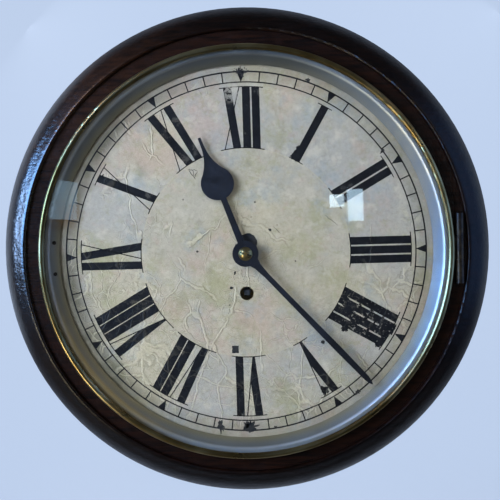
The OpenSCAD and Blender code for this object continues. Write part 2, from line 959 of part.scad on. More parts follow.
module dial_plate() {
  placed() color(paint)
    difference() {
      translate([0, 0, ledge_z])
        cylinder(r = dial_r, h = dial_t, $fn = 180);
      rod(centre_hole_r, ledge_z - over, dial_z + over);
      at(fusee_at)
        rod(winding_hole_r, ledge_z - over, dial_z + over);
      at_dial_screws()
        rod(dial_screw_d / 2 + slip, ledge_z - over, dial_z + over);
      box(-dial_r - over, -tongue_in_r + slot_in, -tongue_w / 2 - over,
        tongue_w / 2 + over, ledge_z - over, dial_z + over);
    }
}

module dial_screws() {
  placed() color(steel)
    translate([0, 0, dial_z])
      at_dial_screws()
        slotted_screw(dial_screw_d / 2, dial_screw_len);
}

module dial_feet() {
  end_z = front_z - 4.5;
  placed() color(brass)
    difference() {
      for (p = dial_feet_at)
        at(p) {
          rod(dial_foot_r, face_z, ledge_z);
          rod(dial_foot_r + 1.6, ledge_z - 1.5, ledge_z);
          rod(2, end_z, face_z + 0.01);
        }
      for (p = dial_feet_at)
        at(p, front_z - pin_r - slip)
          along_y(-over - 2, over + 2)
            circle(pin_r + seat);
    }
}

// pins through the pillar ends in front, and through the dial feet inside
module taper_pins() {
  half = 6;
  placed() color(steel) {
    at_pillars()
      translate([0, 0, face_z + pin_r + slip])
        along_y(-half, half)
          circle(pin_r);
    for (p = dial_feet_at)
      at(p, front_z - pin_r - slip)
        along_y(-half, half)
          circle(pin_r);
  }
}

// bezel

module bezel_profile() {
  nose_r = (bezel_r - bezel_lip_r) / 2;
  wall_r = bezel_r - bezel_wall;
  translate([wall_r, bezel_z])
    square([bezel_wall, bezel_wall_h]);
  translate([bezel_lip_r + nose_r, bezel_top_z])
    intersection() {
      circle(nose_r);
      translate([-nose_r - over, -0.02])
        square(2 * nose_r + 2 * over);
    }
}

module bezel_ring() {
  placed() color(brass)
    rotate_extrude($fn = 180)
      bezel_profile();
}

module sight_ring() {
  placed() color(silvered)
    difference() {
      rotate_extrude($fn = 180)
        polygon([[sight_in_r, sight_z], [sight_in_r, sight_z + sight_t],
          [sight_top_r, sight_top_z], [glass_r, sight_top_z],
          [glass_r, sight_top_z - sight_t], [sight_top_r + 0.3, sight_top_z - sight_t]]);
      at_catch_screws()
        rod(catch_screw_r + slip, -4, 2);
    }
}

module bezel_glass() {
  placed() color(clear)
    translate([0, 0, glass_z + glass_rise - glass_curve])
      rotate_extrude($fn = 180)
        intersection() {
          difference() {
            circle(glass_curve + glass_t, $fn = 720);
            circle(glass_curve, $fn = 720);
          }
          square([glass_r, 2 * glass_curve]);
        }
}

// knuckles of the bezel hinge along y, on its axis
module bezel_knuckles(spans) {
  for (s = spans)
    along_y(s[0], s[1])
      circle(knuckle_r);
}

module bezel_hinge_leaf() {
  half = middle_len / 2 - knuckle_gap;
  placed() color(brass)
    difference() {
      translate([hinge_x, 0, hinge_z]) {
        bezel_knuckles([[-half, half]]);
        box(-hinge_gap - knuckle_r - over, 0, -half, half, -1, 1.4);
      }
      translate([0, 0, hinge_z - knuckle_r])
        cylinder(r = bezel_r + seat, h = 2 * knuckle_r, $fn = 180);
      translate([hinge_x, 0, hinge_z])
        along_y(-middle_len, middle_len)
          circle(hinge_pin_r + fit);
    }
}

module bezel_hinge_plate() {
  low = band_z - hinge_plate_t - hinge_z;
  plate_half = hinge_plate_w / 2;
  half = hinge_len / 2;
  placed() color(brass)
    translate([hinge_x, 0, hinge_z]) {
      box(-plate_half, plate_half, -half, half, low, low + hinge_plate_t);
      for (s = [[-half, -middle_len / 2], [middle_len / 2, half]]) {
        bezel_knuckles([s]);
        box(-knuckle_r * 0.6, knuckle_r * 0.6, s[0], s[1], low, 0);
      }
      along_y(-half, half)
        circle(hinge_pin_r);
    }
}

// bezel catch

module catch_sector(half) {
  rotate_extrude(angle = 2 * half, start = 180 - half, $fn = 180)
    children();
}

// the seats of the catch screws, square to the slope of the sight ring
module at_catch_screws() {
  for (s = [-1, 1])
    rotate(180 + s * catch_screw_angle)
      translate([catch_screw_at, 0,
        sight_z + sight_t + (catch_screw_at - sight_in_r) * sight_slope])
        rotate([0, -sight_tilt, 0])
          children();
}

module bezel_catch() {
  low = sight_z - seat + (catch_in_r - sight_in_r) * sight_under;
  high = sight_z - seat + (sight_top_r - sight_in_r) * sight_under;
  tongue_angle = tongue_w / 2 / tongue_in_r * 180 / PI;
  placed() color(brass)
    difference() {
      union() {
        catch_sector(catch_angle)
          polygon([[catch_in_r, catch_z], [catch_in_r, low], [sight_top_r, high],
            [catch_out_r, high], [catch_out_r, catch_z]]);
        catch_sector(tongue_angle)
          translate([tongue_in_r, catch_z - tongue_len])
            square([tongue_t, tongue_len + 0.01]);
      }
      at_catch_screws()
        rod(catch_screw_r + slip, -4, 2);
    }
}

module catch_screws() {
  placed() color(steel)
    at_catch_screws()
      translate([0, 0, seat])
        slotted_screw(catch_screw_r, 2.6, catch_head_r, 0.9);
}

module catch_keeper() {
  mid = (tongue_in_r + tongue_out_r) / 2;
  placed() color(brass)
    difference() {
      box(-mid - 4 + slip, -mid + 4 - slip, -keeper_w / 2, keeper_w / 2,
        ledge_z - keeper_t, ledge_z);
      box(-tongue_out_r - slot_out, -tongue_in_r + slot_in, -tongue_w / 2 - over,
        tongue_w / 2 + over, ledge_z - keeper_t - over, ledge_z + over);
    }
}

// hands, drawn pointing to twelve

module turned(angle) {
  rotate(-angle)
    children();
}

// half width of the hour hand above its round body, drawn in to the tip
function spire(t, base) = hour_tip_w / 2 + (base - hour_tip_w / 2) * pow(1 - t, 3);

module hour_outline() {
  start = hour_body_r * 0.62;
  base = sqrt(hour_body_r * hour_body_r - start * start);
  reach = hour_len - hour_body_at - start;
  n = 12;
  side = [for (i = [0:n]) [spire(i / n, base), hour_body_at + start + reach * i / n]];
  circle(hour_boss_r);
  translate([0, hour_body_at])
    circle(hour_body_r);
  polygon(concat(side, [for (i = [n:-1:0]) [-side[i][0], side[i][1]]]));
  polygon([[-hour_stem_w / 2 - 0.5, 0], [hour_stem_w / 2 + 0.5, 0],
    [hour_stem_w / 2, hour_body_at - hour_body_r],
    [hour_stem_w, hour_body_at - hour_body_r * 0.9], [-hour_stem_w,
    hour_body_at - hour_body_r * 0.9], [-hour_stem_w / 2, hour_body_at - hour_body_r]]);
}

module hour_hand() {
  placed() color(blued)
    turned(hour_angle)
      difference() {
        union() {
          translate([0, 0, hour_hand_z])
            linear_extrude(hand_t)
              hour_outline();
          rod(hour_boss_r - 1, hour_hand_z - hour_collar_h, hour_hand_z + 0.01);
        }
        rod(hour_pipe_r + fit, 0, hour_hand_z + 2 * hand_t);
      }
}

module minute_outline() {
  flare = 2.4 * minute_boss_r;
  swell_at = 0.72 * minute_len;
  point = 7;
  w = minute_w / 2;
  side = [[w * 2, minute_boss_r * 0.85], [w * 1.25, minute_boss_r * 1.35], [w * 0.92, flare],
    [w * 0.95, minute_len * 0.4], [w * 1.15, swell_at], [w * 0.95, minute_len - point],
    [w * 0.5, minute_len - point * 0.3]];
  circle(minute_boss_r);
  polygon(concat([for (p = side) p], [[0, minute_len]],
    [for (i = [len(side) - 1:-1:0]) [-side[i][0], side[i][1]]]));
}

module minute_hand() {
  placed() color(blued)
    turned(minute_angle)
      translate([0, 0, minute_hand_z])
        difference() {
          linear_extrude(hand_t)
            minute_outline();
          square_bar(cannon_square + 2 * seat, -over, hand_t + over);
        }
}

module hand_collet() {
  low = minute_hand_z + hand_t;
  dome = (collet_r * collet_r + collet_h * collet_h) / (2 * collet_h);
  placed() color(brass)
    turned(minute_angle)
      difference() {
        translate([0, 0, low])
          rotate_extrude()
            intersection() {
              translate([0, collet_h - dome])
                circle(dome);
              square([collet_r, collet_h + over]);
            }
        rod(hand_arbor_r + fit, low - over, low + collet_h + over);
        translate([0, 0, low])
          square_bar(cannon_square + 2 * seat, -over, 0.2);
      }
}

module at_hand_pin() {
  turned(minute_angle - 30)
    translate([0, 0, minute_hand_z + hand_t + collet_h + hand_pin_r + seat])
      children();
}

module hand_pin() {
  placed() color(steel)
    at_hand_pin()
      along_y(-hand_pin_len / 2, hand_pin_len / 2)
        circle(hand_pin_r);
}

// movement frame

module plate_outline() {
  r = plate_corner_r;
  for (x = [plate_left + r, plate_right - r], y = [plate_low + r, plate_high - r])
    translate([x, y])
      circle(r);
  translate([plate_left + r, plate_low])
    square([plate_right - plate_left - 2 * r, plate_high - plate_low]);
  translate([plate_left, plate_low + r])
    square([plate_right - plate_left, plate_high - plate_low - 2 * r]);
}

module front_plate() {
  placed() color(brass) {
    difference() {
      translate([0, 0, front_z])
        linear_extrude(plate_t)
          plate_outline();
      translate([0, 0, front_z - over]) {
        rod(centre_front_r + fit, 0, plate_t + 2 * over);
        at(fusee_at)
          rod(fusee_pivot_r + fit, 0, plate_t + 2 * over);
        at(barrel_at)
          rod(barrel_pivot_r + fit, 0, plate_t + 2 * over);
        for (p = [third_at, escape_at, pallet_at])
          at(p)
            rod(pivot_r + fit, 0, plate_t + 2 * over);
        at_pillars()
          rod(2.5 + slip, 0, plate_t + 2 * over);
        for (p = dial_feet_at)
          at(p)
            rod(2 + slip, 0, plate_t + 2 * over);
        at_bridge_screws()
          rod(1.2 + slip, 0, plate_t + 2 * over);
        at(click_at)
          rod(1.2 + slip, 0, plate_t + 2 * over);
      }
    }
    at(minute_at)
      rod(stud_r, face_z - 0.01, cannon_z + wheel_t + 7);
  }
}

module back_plate() {
  placed() color(brass)
    difference() {
      translate([0, 0, plate_z])
        linear_extrude(plate_t)
          plate_outline();
      translate([0, 0, plate_z - over]) {
        rod(1.2 + fit, 0, plate_t + 2 * over);
        at(fusee_at)
          rod(1.8 + fit, 0, plate_t + 2 * over);
        at(barrel_at)
          rod(2.5 + fit, 0, plate_t + 2 * over);
        for (p = [third_at, escape_at])
          at(p)
            rod(pivot_r + fit, 0, plate_t + 2 * over);
        at(pallet_at)
          rod(pallet_arbor_r + 3, 0, plate_t + 2 * over);
        at_pillars()
          rod(2.5 + seat, 0, plate_t + 2 * over);
        at_cock_screws()
          rod(1.2 + slip, 0, plate_t + 2 * over);
      }
    }
}

// turned pillars, riveted into the back plate and pinned in front of the front plate
module plate_pillars() {
  placed() color(brass)
    difference() {
      at_pillars() {
        rod(2.5, plate_z, back_z + 0.01);
        rod(2.5, front_z - 0.01, face_z + 4);
        translate([0, 0, back_z])
          rotate_extrude() {
            square([pillar_r, plate_gap]);
            square([pillar_r + 1.8, 2.5]);
            translate([0, plate_gap - 2.5])
              square([pillar_r + 1.8, 2.5]);
            translate([0, plate_gap / 2 - 4])
              square([pillar_r + 1, 8]);
            intersection() {
              translate([pillar_r - 0.5, plate_gap / 2])
                circle(2.8);
              square([pillar_r + 3, plate_gap]);
            }
          }
      }
      at_pillars()
        translate([0, 0, face_z + pin_r + slip])
          along_y(-4, 4)
            circle(pin_r + seat);
    }
}

module at_bridge_screws() {
  for (s = [0, 180])
    rotate(bridge_dir + s)
      translate([bridge_screw, 0, 0])
        children();
}

// bridge over the cannon wheel with the pipe that carries the hour wheel
module hour_bridge() {
  placed() color(brass)
    difference() {
      union() {
        rotate(bridge_dir) {
          box(-bridge_half, bridge_half, -bridge_w / 2, bridge_w / 2, bridge_z,
            bridge_z + bridge_t);
          box(bridge_foot, bridge_half, -bridge_w / 2, bridge_w / 2, face_z,
            bridge_z + 0.01);
          box(-bridge_half, -bridge_foot, -bridge_w / 2, bridge_w / 2, face_z,
            bridge_z + 0.01);
        }
        rod(bridge_pipe_r, bridge_z, bridge_pipe_end);
      }
      rod(cannon_r + slip, face_z, bridge_pipe_end + over);
      at_bridge_screws()
        rod(1.2 + slip, face_z - over, bridge_z + bridge_t + over);
    }
}

module at_cock_screws() {
  for (s = [-1, 1])
    translate([s * cock_screw_x, pallet_y, 0])
      children();
}

// cock behind the back plate: pivot of the pallet arbor and post of the suspension
module back_cock() {
  placed() color(brass) {
    difference() {
      union() {
        box(-cock_half, cock_half, pallet_y - cock_h / 2, pallet_y + cock_h / 2,
          cock_z, cock_z + cock_t);
        for (x = [-cock_half, cock_half - 7])
          box(x, x + 7, pallet_y - cock_h / 2, pallet_y + cock_h / 2,
            cock_z + cock_t - 0.01, plate_z);
        box(-post_half, post_half, pallet_y + post_low, pallet_y + post_high, post_z,
          cock_z + 0.01);
      }
      at(pallet_at)
        rod(pivot_r + fit, cock_z - over, cock_z + cock_t + over);
      at_cock_screws()
        rod(1.2 + slip, cock_z - over, plate_z + over);
      box(-spring_leaf_t / 2 - slip, spring_leaf_t / 2 + slip, pallet_y, pallet_y + cock_h,
        post_z - over, pendulum_z + spring_w / 2 + 0.4);
    }
    translate([0, pallet_y + cock_pin_y, pendulum_z])
      rotate([0, 90, 0])
        cylinder(r = 0.7, h = 2 * post_half - 1, center = true);
  }
}

// screws of bridge, back cock and click
module movement_screws() {
  placed() color(steel) {
    translate([0, 0, bridge_z + bridge_t])
      at_bridge_screws()
        slotted_screw(1.2, bridge_z + bridge_t - front_z);
    at(click_at, setup_z + setup_t)
      slotted_screw(1.2, setup_z + setup_t - front_z);
    translate([0, 0, cock_z])
      mirror([0, 0, 1])
        at_cock_screws()
          slotted_screw(1.2, back_z - cock_z);
  }
}

// fusee and great wheel

// rings of the fusee as level, radius and depth of the groove there
function fusee_rings() =
  let (n = fusee_turns * steps, top = groove_z + fusee_turns * groove_pitch,
    cap = fusee_small_r + 1.5, bore = fusee_arbor_r + 0.2)
  concat([[cone_z, fusee_flange_r, 0], [groove_z, fusee_flange_r, 0]],
    [for (k = [0:n]) let (z = groove_z + k * groove_pitch / steps)
      [z, cone_r(z), groove_depth]],
    [[top, cap, 0], [top + 1.3, cap, 0], [top + 1.3, bore, 0], [cone_z, bore, 0]]);

// share of the groove depth at a level and an angle: one helix that climbs a pitch a turn
function groove_share(z, angle) =
  0.5 + 0.5 * cos(360 * (z - contact_z) / groove_pitch - (angle - line_angle));

module fusee_cone() {
  rings = fusee_rings();
  n = len(rings);
  points = [for (r = rings, i = [0:segments - 1])
    let (a = line_angle + 360 * i / segments)
    concat(polar(r[1] - r[2] * groove_share(r[0], a), a), r[0])];
  faces = [for (j = [0:n - 1], i = [0:segments - 1])
    let (a = j * segments + i, b = j * segments + (i + 1) % segments,
      d = ((j + 1) % n) * segments + i,
      c = ((j + 1) % n) * segments + (i + 1) % segments)
    each [[a, d, c], [a, c, b]]];
  placed() color(brass)
    at(fusee_at)
      polyhedron(points, faces);
}

module fusee_arbor() {
  placed() color(steel)
    at(fusee_at) {
      rod(1.8, plate_z + 0.1, back_z + 0.4);
      rod(fusee_arbor_r, back_z + 0.3, front_z - 0.3);
      rod(fusee_arbor_r + 2.5, great_z - 2.2, great_z - 0.3);
      rod(fusee_pivot_r, front_z - 0.31, face_z + 0.2);
      square_bar(winding_square, face_z + 0.19, winding_end);
    }
}

module great_wheel() {
  placed() color(brass)
    at(fusee_at, great_z)
      rotate(great_phase)
        difference() {
          linear_extrude(great_t)
            teeth(great_n, great_m, wheel_form);
          rod(fusee_arbor_r + fit, -over, great_t + over);
          // recess that holds the winding ratchet under the fusee
          rod(fusee_flange_r - 3, great_t - 0.8, great_t + over);
        }
}

// points of the line from its end on the barrel to its end on the fusee
function line_path() = concat(
  [for (i = [barrel_line_turns * segments:-1:0])
    concat(barrel_at + polar(barrel_line_r, line_angle + 360 * i / segments),
      contact_z + barrel_line_pitch * i / segments)],
  [for (i = [0:(line_turns - 0.5) * segments])
    let (z = contact_z - groove_pitch * i / segments)
    concat(fusee_at + polar(line_r(z), line_angle - 360 * i / segments), z)]);

function unit(v) = v / norm(v);

module fusee_line() {
  path = line_path();
  n = len(path);
  sides = 6;
  points = [for (k = [0:n - 1])
    let (run = unit(path[min(k + 1, n - 1)] - path[max(k - 1, 0)]),
      side = unit(cross(run, [0, 0, 1])), up = cross(side, run))
    for (j = [0:sides - 1])
      path[k] + line_d / 2 * (cos(360 / sides * j) * up + sin(360 / sides * j) * side)];
  faces = concat([[for (j = [0:sides - 1]) j]],
    [for (k = [0:n - 2], j = [0:sides - 1])
      let (a = k * sides + j, b = k * sides + (j + 1) % sides)
      each [[a, a + sides, b + sides], [a, b + sides, b]]],
    [[for (j = [sides - 1:-1:0]) (n - 1) * sides + j]]);
  gaps = [for (k = [0:n - 1 - segments]) norm(path[k + segments] - path[k]) - line_d];
  echo("least gap between turns of the line", min(gaps));
  placed() color(gut)
    polyhedron(points, faces);
}

// spring barrel

module barrel_drum() {
  placed() color(brass)
    at(barrel_at, barrel_z)
      difference() {
        rod(barrel_r, 0, barrel_len);
        rod(barrel_r - barrel_wall, 1.8, barrel_len + over);
        rod(barrel_arbor_r + fit, -over, 2 * over);
      }
}

module barrel_cap() {
  placed() color(brass)
    at(barrel_at, barrel_z + barrel_len - 2.3)
      difference() {
        rod(barrel_r - barrel_wall - seat, 0, 2);
        rod(barrel_arbor_r + fit, -over, 3);
      }
}

// teeth of the set-up ratchet, steep on one side
function ratchet_points() =
  [for (i = [0:setup_n - 1]) let (a = 90 + 360 * i / setup_n)
    each [polar(setup_r - 1.6, a), polar(setup_r, a + 360 / setup_n)]];

module barrel_arbor() {
  placed() color(steel)
    at(barrel_at) {
      rod(2.5, plate_z + 0.1, back_z + 0.4);
      rod(barrel_arbor_r, back_z + 0.3, front_z - 0.3);
      rod(barrel_arbor_r + 2, barrel_z + 2.3, barrel_z + barrel_len - 2.8);
      rod(barrel_pivot_r, front_z - 0.31, setup_z);
      square_bar(setup_square, setup_z - 0.01, setup_z + setup_t + 5);
      translate([0, 0, setup_z])
        linear_extrude(setup_t)
          polygon(ratchet_points());
    }
}

// flat spiral from the barrel arbor out to the wall of the barrel
module mainspring() {
  inner = barrel_arbor_r + 2 + spring_t / 2 + seat;
  outer = barrel_r - barrel_wall - spring_t / 2 - seat;
  n = spring_turns * segments;
  path = [for (i = [0:n]) [inner + (outer - inner) * i / n, 360 * i / segments]];
  placed() color(steel)
    at(barrel_at, barrel_z + 3)
      linear_extrude(barrel_len - 6.5)
        polygon(concat([for (p = path) polar(p[0] + spring_t / 2, p[1])],
          [for (i = [n:-1:0]) polar(path[i][0] - spring_t / 2, path[i][1])]));
}

module setup_click() {
  low = setup_r - 1.6 + 0.25;
  placed() color(steel)
    at(barrel_at, setup_z)
      difference() {
        linear_extrude(setup_t) {
          translate([-click_reach, setup_r + click_rise])
            circle(3.2);
          polygon([[-0.2, low], [-0.2, setup_r + 1.6],
            [-click_reach + 1, setup_r + click_rise + 2],
            [-click_reach + 1, setup_r + click_rise - 2], [-3.6, setup_r + 0.2]]);
        }
        at([-click_reach, setup_r + click_rise])
          rod(1.2 + slip, -over, setup_t + over);
      }
}

// going train and motion work

module pinion(n, m, phase, z0, z1) {
  translate([0, 0, z0])
    rotate(phase)
      linear_extrude(z1 - z0)
        teeth(n, m, pinion_form);
}

// centre wheel on its arbor, which carries the hands in front of the plate
module centre_wheel() {
  placed() color(brass) {
    rod(1.2, plate_z + 0.1, back_z + 0.4);
    rod(centre_arbor_r, back_z + 0.3, great_z - 1);
    pinion(centre_pinion_n, great_m, 0, great_z - 1.01, great_z + great_t + 1.01);
    rod(centre_arbor_r, great_z + great_t + 1, front_z - 0.3);
    rod(centre_front_r, front_z - 0.31, face_z + 0.3);
    difference() {
      rod(hand_arbor_r, face_z + 0.29, minute_hand_z + hand_t + collet_h + 3 * hand_pin_r);
      at_hand_pin()
        along_y(-2 * hand_arbor_r, 2 * hand_arbor_r)
          circle(hand_pin_r + seat);
    }
    translate([0, 0, centre_wheel_z])
      linear_extrude(wheel_t)
        crossed_wheel(centre_n, centre_m, 2.2, 5, 4, 2.6, centre_arbor_r - 0.5);
  }
}

module cannon_pinion() {
  placed() color(steel)
    difference() {
      union() {
        translate([0, 0, cannon_z])
          linear_extrude(wheel_t)
            teeth(cannon_n, cannon_m, even_form);
        rod(cannon_r + 1.5, face_z + 0.5, cannon_z + wheel_t);
        rod(cannon_r, face_z + 0.5, minute_hand_z);
        turned(minute_angle)
          square_bar(cannon_square, minute_hand_z - 0.01,
            minute_hand_z + hand_t + 0.1);
      }
      rod(hand_arbor_r + seat, face_z, minute_hand_z + hand_t + over);
    }
}

module minute_wheel() {
  placed() color(brass)
    at(minute_at, cannon_z)
      difference() {
        union() {
          rotate(minute_phase)
            linear_extrude(wheel_t)
              teeth(cannon_n, cannon_m, even_form);
          pinion(minute_pinion_n, hour_m, 0, wheel_t - 0.01,
            hour_wheel_z + wheel_t + 0.6 - cannon_z);
        }
        rod(stud_r + fit, -over, 3 * wheel_t + 6);
      }
}

module hour_wheel() {
  placed() color(brass)
    difference() {
      union() {
        translate([0, 0, hour_wheel_z])
          rotate(hour_phase)
            linear_extrude(wheel_t)
              crossed_wheel(hour_n, hour_m, 2.5, hour_pipe_r + 2.5, 4, 3, 1);
        rod(hour_pipe_r, hour_wheel_z, hour_hand_z + hand_t + 0.3);
      }
      rod(bridge_pipe_r + slip, hour_wheel_z - over, hour_hand_z + hand_t + over);
    }
}

module third_wheel() {
  placed() color(brass)
    at(third_at) {
      rod(pivot_r, plate_z + 0.3, face_z - 0.3);
      rod(arbor_r, back_z + 0.3, front_z - 0.3);
      pinion(third_pinion_n, centre_m, third_phase, centre_wheel_z - 1,
        centre_wheel_z + wheel_t + 1);
      translate([0, 0, third_wheel_z])
        linear_extrude(wheel_t)
          crossed_wheel(third_n, third_m, 2, 4, 4, 2.4, arbor_r - 0.3);
    }
}

// pointed teeth that lean into their turn
function escape_points() =
  [for (i = [0:escape_n - 1]) let (a = 360 * i / escape_n)
    each [polar(escape_r, a), polar(escape_r, a + 0.8), polar(escape_r - 1.8, a + 4),
      polar(escape_r - 3, a + 8), polar(escape_r - 3, a + 13.4)]];

module escape_wheel() {
  rim_r = escape_r - 5;
  placed() color(brass)
    at(escape_at) {
      rod(pivot_r, plate_z + 0.3, face_z - 0.3);
      rod(arbor_r - 0.1, back_z + 0.3, front_z - 0.3);
      pinion(escape_pinion_n, third_m, escape_phase, third_wheel_z - 1,
        third_wheel_z + wheel_t + 1);
      translate([0, 0, escape_wheel_z])
        linear_extrude(wheel_t)
          difference() {
            polygon(escape_points());
            difference() {
              circle(rim_r);
              circle(3.5);
              for (i = [0:3])
                rotate(90 * i)
                  translate([-1, 0])
                    square([2, rim_r + over]);
            }
          }
    }
}

// anchor over the escape wheel, its noses just clear of the teeth
module anchor_outline() {
  low = escape_r + 1.5;
  band = escape_r + 2.6;
  translate(escape_at) {
    difference() {
      circle(band + 3.2);
      circle(band);
      polygon([[0, 0], polar(60, 45), polar(90, 0), polar(90, -90), polar(90, 180),
        polar(60, 135)]);
    }
    for (s = [0, 1])
      mirror([s, 0])
        polygon([polar(low, 45), polar(band + 1, 45), polar(band + 1, 54),
          polar(band, 54), polar(low + 0.5, 50)]);
  }
  translate(pallet_at)
    circle(4);
}

module pallets() {
  placed() color(steel) {
    at(pallet_at) {
      rod(pivot_r, cock_z + 0.2, face_z - 0.3);
      rod(pallet_arbor_r, cock_z + cock_t + 0.3, front_z - 0.3);
    }
    translate([0, 0, escape_wheel_z - 0.5])
      linear_extrude(wheel_t + 1)
        anchor_outline();
  }
}

module crutch() {
  placed() color(steel) {
    at(pallet_at)
      tube(3.6, pallet_arbor_r + seat, crutch_z - 1.5, crutch_z + 1.5);
    translate([0, 0, crutch_z])
      along_y(fork_y, pallet_y - 2.6)
        circle(crutch_r);
    at([0, fork_y])
      rod(crutch_pin_r, pendulum_z - 4.5, crutch_z);
    translate([0, fork_y, crutch_z])
      sphere(crutch_r);
  }
}

// pendulum

module suspension_spring() {
  half = spring_w / 2;
  block_y = pallet_y - spring_free;
  placed() color(steel)
    difference() {
      union() {
        box(-spring_leaf_t / 2, spring_leaf_t / 2, block_y - 1,
          pallet_y + post_high - 0.5, pendulum_z - half, pendulum_z + half);
        box(-2.2, 2.2, rod_top, block_y, pendulum_z - half - 0.2,
          pendulum_z + half + 0.2);
      }
      translate([0, pallet_y + cock_pin_y, pendulum_z])
        rotate([0, 90, 0])
          cylinder(r = 0.8, h = 4, center = true);
    }
}

module pendulum_rod() {
  low = bob_y - bob_r - nut_h - 2;
  placed() color(steel)
    translate([0, 0, pendulum_z]) {
      along_y(low, fork_y - fork_h / 2 + 0.01)
        circle(rod_r);
      along_y(fork_y + fork_h / 2 - 0.01, rod_top)
        circle(rod_r);
      difference() {
        box(-fork_half, fork_half, fork_y - fork_h / 2, fork_y + fork_h / 2, -3.2, 3.2);
        box(-crutch_pin_r - slip, crutch_pin_r + slip, fork_y - fork_h / 2 + 2,
          fork_y + fork_h / 2 - 2, -4, 4);
      }
    }
}

module pendulum_bob() {
  dome = (bob_r * bob_r + bob_t * bob_t / 4) / bob_t;
  placed() color(brass)
    difference() {
      at([0, bob_y], pendulum_z)
        rotate_extrude()
          intersection() {
            translate([0, bob_t / 2 - dome])
              circle(dome, $fn = 240);
            translate([0, dome - bob_t / 2])
              circle(dome, $fn = 240);
            translate([0, -bob_t])
              square([bob_r - 0.6, 2 * bob_t]);
          }
      translate([0, 0, pendulum_z])
        along_y(bob_y - bob_r - over, bob_y + bob_r + over)
          circle(rod_r + slip);
    }
}

module rating_nut() {
  high = bob_y - bob_r;
  placed() color(brass)
    translate([0, 0, pendulum_z])
      along_y(high - nut_h, high)
        difference() {
          circle(nut_r);
          circle(rod_r + slip);
        }
}

dial_surround();
surround_brackets();
case_side_left();
case_side_right();
case_top();
case_bottom();
backboard();
case_pegs();
hanging_plate();
hanging_screws();
side_door();
side_door_knob();
bottom_door();
bottom_door_knob();
door_hinges();
side_door_leaves();
bottom_door_leaf();
dial_plate();
dial_screws();
dial_feet();
taper_pins();
bezel_ring();
sight_ring();
bezel_glass();
bezel_hinge_leaf();
bezel_hinge_plate();
bezel_catch();
catch_screws();
catch_keeper();
hour_hand();
minute_hand();
hand_collet();
hand_pin();
front_plate();
back_plate();
plate_pillars();
hour_bridge();
back_cock();
movement_screws();
fusee_cone();
fusee_arbor();
great_wheel();
fusee_line();
barrel_drum();
barrel_cap();
barrel_arbor();
mainspring();
setup_click();
centre_wheel();
cannon_pinion();
minute_wheel();
hour_wheel();
third_wheel();
escape_wheel();
pallets();
crutch();
suspension_spring();
pendulum_rod();
pendulum_bob();
rating_nut();
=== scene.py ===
import math
import random

import bmesh
import bpy
from mathutils import Euler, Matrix, Vector, geometry, noise


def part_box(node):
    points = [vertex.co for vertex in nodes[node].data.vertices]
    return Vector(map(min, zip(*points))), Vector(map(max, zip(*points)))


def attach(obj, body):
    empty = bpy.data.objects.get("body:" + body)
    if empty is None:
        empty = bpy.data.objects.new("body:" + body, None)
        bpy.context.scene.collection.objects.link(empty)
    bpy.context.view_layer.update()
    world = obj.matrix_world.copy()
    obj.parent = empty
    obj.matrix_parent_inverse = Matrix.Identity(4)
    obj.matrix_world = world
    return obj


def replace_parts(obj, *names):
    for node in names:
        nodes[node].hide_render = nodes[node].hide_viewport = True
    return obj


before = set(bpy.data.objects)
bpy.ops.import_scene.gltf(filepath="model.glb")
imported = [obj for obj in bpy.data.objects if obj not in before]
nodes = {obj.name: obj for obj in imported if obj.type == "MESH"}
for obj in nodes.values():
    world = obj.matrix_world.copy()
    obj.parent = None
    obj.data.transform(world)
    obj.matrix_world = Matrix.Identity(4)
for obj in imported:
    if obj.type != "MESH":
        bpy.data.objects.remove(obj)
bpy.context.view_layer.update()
print("frame loaded,", len(nodes), "nodes")


# places on the clock are given in mm as seen from the front, round the axis of the hands:
# x to the right, y up and z out from the wall
handAxisDrop = 115.0


def place(x, y, z):
    return Vector((x / 1000, -z / 1000, (y - handAxisDrop) / 1000))


def polar(r, clockAngle):
    a = math.radians(clockAngle)
    return (r * math.sin(a), r * math.cos(a))


def frontOf(node):
    return -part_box(node)[0].y * 1000


dialFront = frontOf("dial_plate")
print("dial front at", round(dialFront, 2), "mm")


# small kit for node materials

